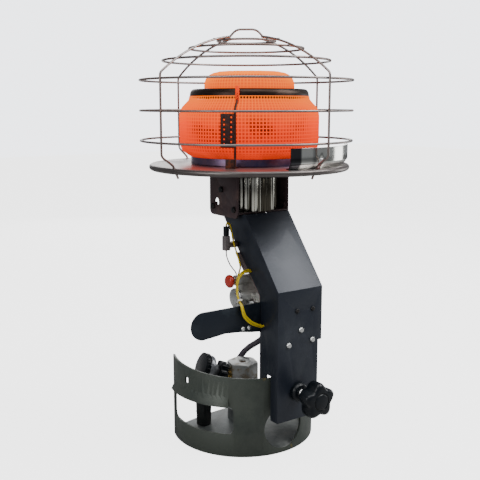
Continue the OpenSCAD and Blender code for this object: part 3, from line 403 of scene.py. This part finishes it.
black_rubber = finish_of("black rubber", (0.008, 0.0095, 0.0095), (0.02, 0.022, 0.021), 0, 0.5,
                         (50, 0.48, 0.7), 0.2, (500, (1, 1, 1), 0.15), shine=0.3)
hose_rubber = finish_of("hose rubber", (0.05, 0.042, 0.055), (0.085, 0.075, 0.09), 0, 0.5,
                        (50, 0.48, 0.7), 0.2, (600, (1, 1, 1), 0.2), shine=0.3)

# %% [markdown]
# The mesh glows: yellow on its shoulder, where the flame is hottest, and redder lower down.
# The glow is an emission whose colour follows the height, broken up a little by noise.
# What lies behind the mesh has cold patches halfway up, where the holes look dark.


# %% The glowing finish
def glowing(name, stops, low, high, strength, noise_amount, patches=None):
    m = bpy.data.materials.new(name)
    m.use_nodes = True
    n, link = m.node_tree.nodes, m.node_tree.links.new
    shader = n["Principled BSDF"]
    shader.inputs["Base Color"].default_value = (0.1, 0.015, 0.005, 1)
    shader.inputs["Roughness"].default_value = 0.6
    shader.inputs["Specular IOR Level"].default_value = 0.1
    where = n.new("ShaderNodeTexCoord")
    part = n.new("ShaderNodeSeparateXYZ")
    link(where.outputs["Object"], part.inputs["Vector"])
    height = n.new("ShaderNodeMapRange")
    height.inputs["From Min"].default_value = low
    height.inputs["From Max"].default_value = high
    link(part.outputs["Z"], height.inputs["Value"])
    spots = effect(n, STAINS, 26, 0.35, 0.7)
    shift = n.new("ShaderNodeMath")
    shift.operation = "MULTIPLY_ADD"
    shift.inputs[1].default_value = noise_amount
    link(spots.outputs["Mask"], shift.inputs[0])
    link(height.outputs["Result"], shift.inputs[2])
    ramp = n.new("ShaderNodeValToRGB")
    while len(ramp.color_ramp.elements) < len(stops):
        ramp.color_ramp.elements.new(0.5)
    for element, (place, colour) in zip(ramp.color_ramp.elements, stops):
        element.position = place
        element.color = (*colour, 1)
    link(shift.outputs["Value"], ramp.inputs["Fac"])
    glow = ramp.outputs["Color"]
    if patches:
        cold = effect(n, STAINS, *patches[1])
        middle = n.new("ShaderNodeValToRGB")
        middle.color_ramp.elements.new(0.5)
        for element, (place, level) in zip(middle.color_ramp.elements, ((0.12, 0), (0.45, 1), (0.78, 0))):
            element.position = place
            element.color = (level, level, level, 1)
        link(height.outputs["Result"], middle.inputs["Fac"])
        both = n.new("ShaderNodeMath")
        both.operation = "MULTIPLY"
        link(cold.outputs["Mask"], both.inputs[0])
        link(middle.outputs["Color"], both.inputs[1])
        cooled = n.new("ShaderNodeMix")
        cooled.data_type = "RGBA"
        cooled.inputs["B"].default_value = (*patches[0], 1)
        link(both.outputs["Value"], cooled.inputs["Factor"])
        link(glow, cooled.inputs["A"])
        glow = cooled.outputs["Result"]
    link(glow, shader.inputs["Emission Color"])
    shader.inputs["Emission Strength"].default_value = strength
    return m


drum_low, drum_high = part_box("emitter_drum")
band_low, band_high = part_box("emitter_band")
dome_low, dome_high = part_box("emitter_dome")
glow_wires = glowing("glowing mesh", [(0, (0.3, 0.02, 0.004)), (0.16, (0.9, 0.035, 0.0008)),
                     (0.6, (1.3, 0.065, 0.0002)), (0.78, (1.35, 0.13, 0.0002)), (1, (1.3, 0.2, 0.0002))],
                     drum_low.z, drum_high.z, 1.25, 0.1)
glow_dome = glowing("glowing dome mesh", [(0, (1.1, 0.12, 0.0005)), (0.35, (1.35, 0.2, 0.0002)),
                    (1, (1.7, 0.36, 0.0005))], dome_low.z, dome_high.z, 1.2, 0.15)
glow_inside = glowing("glow inside", [(0, (0.5, 0.02, 0.001)), (0.2, (0.75, 0.026, 0.001)),
                      (0.5, (0.7, 0.024, 0.001)), (0.8, (1.1, 0.08, 0.001)), (1, (1.2, 0.13, 0.001))],
                      drum_low.z, drum_high.z, 1.0, 0.2, patches=((0.006, 0.0006, 0.0004), (15, 0.5, 0.58)))
glow_twist = glowing("glowing twist", [(0, (0.08, 0.006, 0.003)), (0.5, (0.5, 0.02, 0.002)),
                     (1, (1.2, 0.06, 0.001))], band_low.z - 0.04, band_high.z, 1.0, 0.2)

# %% [markdown]
# The drum is a pressed sheet of wire mesh with square holes, about four and a half millimetres apart.
# A circle of edges is extruded up and scaled along the drum's outline, one row of holes at a time,
# and a wireframe modifier turns its edges into wires, so that the holes are real.

# %% The mesh drum
PITCH = 0.0045
DRUM_HOLES = 132        # holes in one row round the drum
DRUM_WIRE = 0.0019
ROW_SHARE = 0.98        # a row's height, as a share of the pitch


def along(table, z):
    """The outline's radius at a height, on the straight line between two measured points."""
    for (z0, r0), (z1, r1) in zip(table, table[1:]):
        if z <= z1:
            t = (z - z0) / (z1 - z0)
            return r0 + (r1 - r0) * t
    return table[-1][1]


def mesh_shell(rows, count, centre):
    x, y = centre
    deselect()
    bpy.ops.mesh.primitive_circle_add(vertices=count, radius=rows[0][0], location=(x, y, rows[0][1]))
    obj = bpy.context.object
    bpy.ops.object.mode_set(mode="EDIT")
    bpy.ops.mesh.select_all(action="SELECT")
    for (r0, z0), (r1, z1) in zip(rows, rows[1:]):
        bpy.ops.mesh.extrude_region_move(TRANSFORM_OT_translate={"value": (0, 0, z1 - z0)})
        bpy.ops.transform.resize(value=(r1 / r0, r1 / r0, 1), center_override=(x, y, z1))
    leave()
    return obj


drum_outline = [(0.0, 0.0812), (0.0035, 0.0870), (0.008, 0.0926), (0.0145, 0.0949), (0.022, 0.0955),
                (0.055, 0.0955), (0.061, 0.0942), (0.066, 0.0912), (0.071, 0.0862), (0.075, 0.0826), (0.0775, 0.0816)]
drum_rows = [(along(drum_outline, 0), drum_low.z)]
while drum_rows[-1][1] < band_low.z:
    r, z = drum_rows[-1]
    dz = 0.0006
    while math.hypot(dz, along(drum_outline, z + dz - drum_low.z) - r) < PITCH * ROW_SHARE:
        dz += 0.0002
    drum_rows.append((along(drum_outline, z + dz - drum_low.z), z + dz))
drum = mesh_shell(drum_rows, DRUM_HOLES, HEAD)
apply_modifier(drum, "WIREFRAME", thickness=DRUM_WIRE, use_even_offset=False, use_boundary=True)
finished(drum, "mesh_drum", glow_wires, stands_for=("emitter_drum",))
print("rows of holes:", len(drum_rows) - 1, "faces:", len(drum.data.polygons))

# %% [markdown]
# Behind the mesh the burner's own face glows dull red. It is seen only through the holes.

# %% The glow inside
liner = turned([(0.0812, drum_low.z + 0.001), (0.0885, drum_low.z + 0.016), (0.0895, drum_low.z + 0.055),
                (0.078, drum_high.z - 0.004)], HEAD, 96)
smooth(liner, 60)
finished(liner, "glowing_liner", glow_inside)
tube = turned([(0.0528, PLATE + 0.0005), (0.0538, PLATE + 0.0005), (0.0538, band_high.z - 0.002),
               (0.0528, band_high.z - 0.002), (0.0528, PLATE + 0.0005)], HEAD, 96)
finished(smooth(tube, 40), "burner_tube", glow_inside, stands_for=("inner_burner_tube",))

# %% [markdown]
# The dome on top is mesh as well. Its side and shoulder are rows of holes on a turned outline,
# and its top is a flat square grid that is cut to a circle, as a pressed piece of wire cloth shows.

# %% The mesh dome
DOME_HOLES = 86
DOME_WIRE, TOP_WIRE = 0.0018, 0.0016
TOP_CELLS = 18          # cells across the square grid
TOP_SHARE = 0.66        # the grid's cut radius, as a share of the dome's
dome_r = (dome_high.x - dome_low.x) / 2
dome_h = dome_high.z - dome_low.z
dome_outline = [(1, 0), (1, 0.17), (0.995, 0.34), (0.975, 0.52), (0.935, 0.68), (0.875, 0.81), (0.8, 0.9),
                (0.72, 0.945), (0.64, 0.97)]
dome_rows = [(dome_r * r, dome_low.z + dome_h * z) for r, z in dome_outline]
dome_side = mesh_shell(dome_rows, DOME_HOLES, HEAD)
apply_modifier(dome_side, "WIREFRAME", thickness=DOME_WIRE, use_even_offset=False, use_boundary=True)
deselect()
bpy.ops.mesh.primitive_grid_add(x_subdivisions=TOP_CELLS, y_subdivisions=TOP_CELLS, size=TOP_CELLS * PITCH,
                                location=(HX, HY, dome_low.z + dome_h * 0.975))
dome_top = bpy.context.object
bpy.ops.object.mode_set(mode="EDIT")
pick(dome_top, lambda f: f.center.length > dome_r * TOP_SHARE, "FACE")
bpy.ops.mesh.delete(type="FACE")
bpy.ops.mesh.select_mode(type="VERT")
leave()
apply_modifier(dome_top, "WIREFRAME", thickness=TOP_WIRE, use_even_offset=False, use_boundary=True)
only(dome_side)
dome_top.select_set(True)
bpy.ops.object.join()
finished(dome_side, "mesh_dome", glow_dome, stands_for=("emitter_dome",))
dome_glow = turned([(dome_r - 0.004, dome_low.z + 0.001), (dome_r - 0.004, dome_low.z + dome_h * 0.5),
                    (dome_r * 0.8, dome_low.z + dome_h * 0.8), (0.001, dome_low.z + dome_h * 0.86)], HEAD, 64)
smooth(dome_glow, 70)
finished(dome_glow, "dome_glow", glow_inside)

# %% [markdown]
# A dark steel band holds the drum's upper edge. It is a closed ring, and its outline has a rounded
# top corner and a rolled lower edge.

# %% The band
b = band_high.z
band_r = (band_high.x - band_low.x) / 2
band_outline = [(band_r - 0.0022, band_low.z + 0.0004), (band_r - 0.0008, band_low.z), (band_r, band_low.z + 0.0012),
                (band_r - 0.0002, b - 0.0072), (band_r - 0.0008, b - 0.0046), (band_r - 0.002, b - 0.0024),
                (band_r - 0.0036, b - 0.0009), (band_r - 0.0056, b - 0.0001), (band_r - 0.008, b - 0.0002),
                (dome_r - 0.002, b - 0.0012), (dome_r - 0.0035, b - 0.0024), (dome_r - 0.0025, b - 0.003),
                (band_r - 0.0082, b - 0.0016), (band_r - 0.006, b - 0.0014), (band_r - 0.0042, b - 0.0022),
                (band_r - 0.003, b - 0.0036), (band_r - 0.002, b - 0.0056), (band_r - 0.0014, b - 0.008),
                (band_r - 0.0022, band_low.z + 0.0004)]
band = turned(band_outline, HEAD, 144)
smooth(band, 30)
finished(band, "emitter_band_trim", band_steel, stands_for=("emitter_band",))

# %% [markdown]
# The drum's mesh is closed by wires that are twisted together. The twist crosses the band as a knot.
# One strand is a small circle that a screw modifier winds upwards, and the others are turned copies.

# %% The twist over the band
STRANDS = 3
TWIST_WIRE_R, TWIST_R = 0.0011, 0.0017
TWIST_RISE, TWIST_TURNS = 0.0105, 2
BELOW_BAND = 0.006      # how far below the band the knot starts
rod_low, rod_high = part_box("probe_rod")
knot = ((rod_low.x + rod_high.x) / 2 - HX, (rod_low.y + rod_high.y) / 2 - HY)
reach = (band_r + 0.0022) / math.hypot(*knot)
knot = (HX + knot[0] * reach, HY + knot[1] * reach)
strands = []
for k in range(STRANDS):
    deselect()
    bpy.ops.mesh.primitive_circle_add(vertices=8, radius=TWIST_WIRE_R, location=(TWIST_R, 0, 0),
                                      rotation=(math.pi / 2, 0, 0))
    strand = bpy.context.object
    bpy.ops.object.transform_apply(location=True, rotation=True, scale=True)
    apply_modifier(strand, "SCREW", axis="Z", screw_offset=TWIST_RISE, angle=2 * math.pi,
                   iterations=TWIST_TURNS, steps=20, render_steps=20)
    edit(strand)
    bpy.ops.mesh.normals_make_consistent(inside=False)
    leave()
    strand.rotation_euler = (0, 0, 2 * math.pi * k / STRANDS)
    strand.location = (*knot, band_low.z - BELOW_BAND)
    strands.append(strand)
only(strands[0])
for strand in strands:
    strand.select_set(True)
bpy.ops.object.join()
finished(smooth(strands[0], 60), "band_twist", glow_twist)

# %% [markdown]
# The base ring under the drum has turned blue and purple from the heat.

# %% The base ring
base_low, base_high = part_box("burner_base")
base_r = (base_high.x - base_low.x) / 2
base = turned([(base_r - 0.006, base_low.z), (base_r - 0.0008, base_low.z), (base_r, base_low.z + 0.001),
               (base_r, base_high.z - 0.0012), (base_r - 0.0006, base_high.z), (base_r - 0.0014, base_high.z),
               (base_r - 0.0014, base_low.z + 0.002), (base_r - 0.006, base_low.z + 0.0012),
               (base_r - 0.006, base_low.z)], HEAD, 128)
smooth(base, 30)
finished(base, "base_ring", heat_blued, stands_for=("burner_base",))

# %% [markdown]
# The deflector plate is one pressed disc with a rolled rim, a hole in its middle and four small punched
# holes for the guard's feet. It is turned as an outline, and small cylinders cut the foot holes.
# The guard stands about its own axis, at x = 0. The rim and the underside get a darker copy of the plate's steel, a
# painted shade.

# %% The deflector plate
FOOT_R, FOOT_TURN, FOOT_HOLE_R = 0.1278, 9, 0.003
TOP_SKIN = 0.0009       # faces deeper than this belong to the rim and the underside
MIDDLE_R = 0.0136
rim, rim_sheet = 0.004, 0.0012
plate_r = (plate_high.x - plate_low.x) / 2
sheet = 0.0015
roll = [(plate_r - rim + rim * math.sin(math.radians(a)), PLATE - rim + rim * math.cos(math.radians(a)))
        for a in range(15, 300, 19)]
back_roll = [(plate_r - rim + (rim - rim_sheet) * math.sin(math.radians(a)),
              PLATE - rim + (rim - rim_sheet) * math.cos(math.radians(a)))
             for a in range(296, 10, -19)]
plate = turned([(MIDDLE_R, PLATE)] + [(plate_r - rim, PLATE)] + roll + back_roll +
               [(plate_r - rim - 0.001, PLATE - sheet), (MIDDLE_R, PLATE - sheet), (MIDDLE_R, PLATE)], HEAD, 160)
for i in range(4):
    a = math.radians(FOOT_TURN + 90 * i)
    deselect()
    bpy.ops.mesh.primitive_cylinder_add(vertices=24, radius=FOOT_HOLE_R, depth=0.012,
                                        location=(FOOT_R * math.sin(a), HY - FOOT_R * math.cos(a), PLATE - rim))
    punch = bpy.context.object
    apply_modifier(plate, "BOOLEAN", operation="DIFFERENCE", object=punch, solver="EXACT")
    bpy.data.objects.remove(punch)
smooth(plate, 30)
finished(plate, "plate_disc", plate_steel, stands_for=("deflector_plate",))
# The rim and the underside take the darker steel, a painted shade.
plate.data.materials.append(painted_shade_rim_steel)
for face in plate.data.polygons:
    if face.center.z < PLATE - TOP_SKIN:
        face.material_index = 1

# %% [markdown]
# These pieces of the head keep their solids' shape and get their finish. Their edges are rounded, all but those of the
# wires, the probe rod and the gas pipe.

# %% Head pieces with rounded edges
# The shield's chrome carries painted dark reflections.
softened("reflector_shield", "shield_strip", mirror_chrome, 0.0003)
softened("pilot_shield", "pilot_strip", scaled_steel, 0.0002)
softened("probe_rod", "probe_wire", scaled_steel, 0)
softened("probe_bracket", "probe_foot", scaled_steel, 0.0003)
softened("head_bracket", "bracket", bracket_paint, 0.0005)
softened("bracket_screws", "bracket_screw_heads", black_screws, 0.0004)
# The throat's dark streaks are painted reflections.
softened("burner_throat", "fluted_throat", polished_aluminium, 0.0003)
softened("mixing_tube", "mixing_tube_skin", polished_aluminium, 0.0002)
softened("gas_jet", "gas_jet_skin", worn_brass, 0.0003)
softened("gas_pipe", "gas_pipe_skin", polished_aluminium, 0)
softened("neck_plate", "neck_plate_skin", bracket_paint, 0.0004)
for i in range(1, 5):
    softened("guard_upright_%d" % i, "upright_%d" % i, guard_steel, 0)
for i in range(1, 7):
    softened("guard_ring_%d" % i, "ring_%d" % i, guard_steel, 0)
softened("guard_loop", "hanging_loop", guard_steel, 0)

# %% [markdown]
# The casing is bent from one sheet. Its bends are rounded more than its cut edges.

# %% Casing, support and arm
softened("front_cover", "casing", casing_paint, 0.0007, segments=3)
softened("cover_screws", "casing_screws", zinc_screws, 0.0005)
softened("cover_rivets", "casing_rivets", black_screws, 0.0005)
# The support's pinkish tint is a painted reflection.
softened("support_plate", "support", support_steel, 0.0004)
softened("side_arm", "arm", arm_paint, 0.0006)
softened("arm_screws", "arm_screw_heads", zinc_screws, 0.0004)

# %% [markdown]
# The controls on the support plate: the safety valve, its button and spring, and the tilt switch.
# The spring is given a mesh of its own.

# %% Controls
softened("valve_body", "valve_casting", cast_zinc, 0.0007)
softened("valve_flange", "valve_cover", zinc_screws, 0.0006)
softened("magnet_nut", "magnet_cap", zinc_screws, 0.0006)
softened("valve_button", "button", red_plastic, 0.0009, "light_button")
spring = softened("button_spring", "spring", zinc_screws, 0)
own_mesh(spring)
softened("tilt_switch", "switch", grey_plastic, 0.0008)
softened("tilt_switch_cap", "switch_cap", black_plastic, 0.0008)
softened("grey_lead", "thin_lead", grey_sleeve, 0)
softened("lead_tie", "tie", white_nylon, 0.0003)

# %% [markdown]
# Two yellow leads run as a loosely twisted pair in front of the valve, and a thinner one runs down from
# the tilt switch. The routes are the solids' own, in millimetres from the head's axis. A curve through
# the points of each is given a round section and then made a mesh.


# %% The yellow leads
def route(points, steps=6):
    """Points on a smooth line through the given points."""
    line = []
    for i in range(len(points) - 1):
        a, b, c, d = (Vector(points[max(0, min(len(points) - 1, k))]) for k in (i - 1, i, i + 1, i + 2))
        for k in range(steps):
            t = k / steps
            line.append(0.5 * (2 * b + (c - a) * t + (2 * a - 5 * b + 4 * c - d) * t * t
                               + (3 * b - a - 3 * c + d) * t * t * t))
    return line + [Vector(points[-1])]


def lead(name, line, diameter, material):
    data = bpy.data.curves.new(name, "CURVE")
    data.dimensions = "3D"
    data.bevel_depth = diameter / 2
    data.bevel_resolution = 3
    data.use_fill_caps = True
    spline = data.splines.new("POLY")
    spline.points.add(len(line) - 1)
    for point, place in zip(spline.points, line):
        point.co = (HX + place.x / 1000, HY + place.y / 1000, place.z / 1000, 1)
    obj = bpy.data.objects.new(name, data)
    bpy.context.collection.objects.link(obj)
    only(obj)
    bpy.ops.object.convert(target="MESH")
    return finished(smooth(bpy.context.object, 60), name, material)


pair_route = route([(-34.4, -53, 250.5), (-41, -54, 251.5), (-50, -56, 250), (-58, -59, 245.5), (-62, -61, 238),
                    (-63, -62.5, 230), (-65, -66.5, 222.5), (-66.5, -73.5, 217.2), (-67, -79.3, 211.8),
                    (-66.5, -81.5, 205), (-63, -81.8, 197), (-52.5, -81.8, 187.5), (-40, -82, 181.5),
                    (-34.4, -82, 180)])
thin_route = route([(-53.8, -22.8, 309.4), (-52.5, -23, 313), (-48, -23, 311), (-45, -23, 300), (-43.8, -27, 284),
                    (-44, -38, 266), (-46, -45, 256), (-49, -47, 250), (-49, -45, 245.5)])
STRAND, TWIST = 2.6, 230.0      # millimetres: one lead's thickness, and the length of a full twist
APART = 0.52                    # half the distance between the leads, as a share of the thickness
THIN_LEAD = 0.0024
strand_lines = ([], [])
gone = 0
for i, place in enumerate(pair_route):
    ahead = (pair_route[min(i + 1, len(pair_route) - 1)] - pair_route[max(i - 1, 0)]).normalized()
    side = ahead.cross(Vector((0, -1, 0))).normalized()
    across = ahead.cross(side)
    gone += (place - pair_route[i - 1]).length if i else 0
    turn = math.pi * (0.25 + 2 * gone / TWIST)
    aside = (side * math.cos(turn) + across * math.sin(turn)) * STRAND * APART
    strand_lines[0].append(place + aside)
    strand_lines[1].append(place - aside)
lead_a = lead("yellow_lead_a", strand_lines[0], STRAND / 1000, yellow_sleeve)
lead("yellow_lead_b", strand_lines[1], STRAND / 1000, yellow_sleeve)
lead("yellow_lead_c", thin_route, THIN_LEAD, yellow_sleeve)
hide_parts("yellow_leads")
print("the pair is", round(gone), "mm long")

# %% [markdown]
# The clamp: a boss on the casing, a screw with a star knob, and the pad that meets the collar.

# %% Clamp
softened("clamp_boss", "boss", black_plastic, 0.0007)
softened("clamp_pad", "pad", cast_zinc, 0.0005, "clamp_pad")

# %% [markdown]
# The star knob is moulded: a neck, five soft lobes and a raised disc on its end. It is a tower of rings,
# each one extruded from the last and given by its distance from the end, its radius and the lobes' height.
# A cosine pushes the rings out at the lobes and in between them.

# %% The star knob
knob_low, knob_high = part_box("clamp_knob")
KNOB_X, KNOB_Z = (knob_low.x + knob_high.x) / 2, 0.092
KNOB_END = knob_low.y
LOBES, SIDES = 5, 100
VALLEY = 1.25           # how much deeper the valleys are than the lobes are high
knob_rings = [(0.0348, 0.009, 0), (0.0325, 0.0096, 0.0002), (0.028, 0.0128, 0.0007), (0.0245, 0.0168, 0.0018),
              (0.0225, 0.0196, 0.0022), (0.0198, 0.0212, 0.0026), (0.012, 0.0218, 0.0028), (0.0062, 0.0218, 0.0028),
              (0.0036, 0.0209, 0.0026), (0.0018, 0.0191, 0.0021), (0.0009, 0.0166, 0.0017), (0.0008, 0.0124, 0.0002),
              (0.0016, 0.0118, 0), (0.0016, 0.0106, 0), (0.0004, 0.0099, 0), (0, 0.0088, 0), (0, 0.0002, 0)]
deselect()
bpy.ops.mesh.primitive_circle_add(vertices=SIDES, radius=knob_rings[0][1], fill_type="NGON",
                                  location=(KNOB_X, KNOB_END + knob_rings[0][0], KNOB_Z), rotation=(math.pi / 2, 0, 0))
knob = bpy.context.object
bpy.ops.object.transform_apply(location=True, rotation=True, scale=True)
bpy.ops.object.mode_set(mode="EDIT")
bpy.ops.mesh.select_all(action="SELECT")
for (y0, r0, _), (y1, r1, _) in zip(knob_rings, knob_rings[1:]):
    bpy.ops.mesh.extrude_region_move(TRANSFORM_OT_translate={"value": (0, y1 - y0, 0)})
    bpy.ops.transform.resize(value=(r1 / r0, 1, r1 / r0), center_override=(KNOB_X, KNOB_END + y1, KNOB_Z))
bpy.ops.mesh.select_all(action="SELECT")
bpy.ops.mesh.normals_make_consistent(inside=False)
leave()
for vertex in knob.data.vertices:
    ring = min(knob_rings, key=lambda k: abs(KNOB_END + k[0] - vertex.co.y)
               + abs(k[1] - math.hypot(vertex.co.x - KNOB_X, vertex.co.z - KNOB_Z)))
    turn = math.atan2(vertex.co.x - KNOB_X, vertex.co.z - KNOB_Z)
    wave = math.cos(LOBES * turn)
    push = 1 + ring[2] / ring[1] * (wave if wave > 0 else wave * VALLEY)
    vertex.co.x = KNOB_X + (vertex.co.x - KNOB_X) * push
    vertex.co.z = KNOB_Z + (vertex.co.z - KNOB_Z) * push
finished(smooth(knob, 40), "star_knob", black_plastic, "clamp_screw", ("clamp_knob",))
print("the knob has", len(knob.data.polygons), "faces")

# %% [markdown]
# The clamp screw is turned with a thread: its outline is a zigzag, one tooth for each turn of the thread.

# %% The clamp screw
THREAD = 0.0015         # from one turn of the thread to the next
STUD_CORE, STUD_ROOT, STUD_CREST = 0.0004, 0.0044, 0.0049
KNOB_DEPTH = 0.034      # the knob with its neck
STUD_START = knob_high.y
teeth = round((STUD_START - KNOB_END - KNOB_DEPTH) / THREAD)
zigzag = [(STUD_CORE, 0), (STUD_ROOT, 0)]
for k in range(teeth):
    zigzag += [(STUD_CREST, 0.0004 + THREAD * k), (STUD_ROOT, 0.00115 + THREAD * k)]
zigzag += [(STUD_ROOT, THREAD * teeth), (STUD_CORE, THREAD * teeth)]
stud = turned(zigzag, (0, 0), 32)
stud.rotation_euler = (math.pi / 2, 0, 0)
stud.location = (KNOB_X, STUD_START, KNOB_Z)
finished(smooth(stud, 30), "clamp_stud", zinc_screws, "clamp_screw")

# %% [markdown]
# The collar, the crown and the cylinder's valve with its regulator stand at the collar's own axis.

# %% Collar and valve
softened("collar", "collar_band", collar_paint, 0.0006)
softened("crown_plate", "crown", crown_paint, 0.0005)
softened("valve_neck", "neck", worn_brass, 0.0005)
softened("valve_block", "block", stained_zinc, 0.0008)
softened("valve_plug", "plug", stained_brass, 0.0003)
softened("brass_outlet", "outlet", worn_brass, 0.0004)
softened("hand_nut", "lobed_nut", black_plastic, 0.001, "union_nut")
softened("regulator_body", "regulator", grey_casting, 0.0008)
softened("regulator_ring", "ribbed_ring", black_plastic, 0.0005, "regulator_tap")
softened("regulator_leg", "leg", black_rubber, 0.001)
softened("gas_hose", "hose", hose_rubber, 0)

# %% [markdown]
# A plain pale floor and five soft lights: one above, one on the left, two on the right and one behind.
# They give the metal something to reflect, and none of them is part of the object.

# %% Floor and lights
deselect()
bpy.ops.mesh.primitive_plane_add(size=12, location=(0, 0, -0.0005))
floor = bpy.context.object
floor.name = "floor"
floor_finish = bpy.data.materials.new("floor")
floor_finish.use_nodes = True
floor_shader = floor_finish.node_tree.nodes["Principled BSDF"]
floor_shader.inputs["Base Color"].default_value = (0.35, 0.35, 0.35, 1)
floor_shader.inputs["Roughness"].default_value = 0.8
floor_shader.inputs["Emission Color"].default_value = (1, 1, 1, 1)
floor.data.materials.append(floor_finish)

world = bpy.data.worlds.new("studio")
bpy.context.scene.world = world
world.use_nodes = True
sky = world.node_tree.nodes["Background"]
sky.inputs["Color"].default_value = (0.93, 0.95, 1, 1)


def brighter_to_the_eye(tree, socket, seen, cast):
    """The surround looks nearly white, but lights the object less than it looks."""
    path = tree.nodes.new("ShaderNodeLightPath")
    level = tree.nodes.new("ShaderNodeMapRange")
    level.inputs["To Min"].default_value = cast
    level.inputs["To Max"].default_value = seen
    tree.links.new(path.outputs["Is Camera Ray"], level.inputs["Value"])
    tree.links.new(level.outputs["Result"], socket)


SKY_SEEN, SKY_CAST, FLOOR_SEEN = 3.6, 0.3, 3.2
brighter_to_the_eye(world.node_tree, sky.inputs["Strength"], SKY_SEEN, SKY_CAST)
brighter_to_the_eye(floor_finish.node_tree, floor_shader.inputs["Emission Strength"], FLOOR_SEEN, 0)


def soft_light(name, place, size, power, target=(0, 0, 0.28)):
    data = bpy.data.lights.new(name, "AREA")
    data.size = size
    data.energy = power
    lamp = bpy.data.objects.new(name, data)
    bpy.context.collection.objects.link(lamp)
    lamp.location = place
    lamp.rotation_euler = (Vector(target) - Vector(place)).to_track_quat("-Z", "Y").to_euler()


soft_light("light above", (-0.3, -0.5, 1.9), 1.2, 20)
soft_light("light left", (-1.7, -0.4, 0.9), 1.0, 14)
soft_light("light upper right", (1.0, -0.85, 1.5), 1.1, 38)
soft_light("light right", (1.9, -0.1, 0.3), 0.7, 7)
soft_light("light behind", (0.9, 1.9, 0.75), 1.2, 12, (0, 0, 0.4))
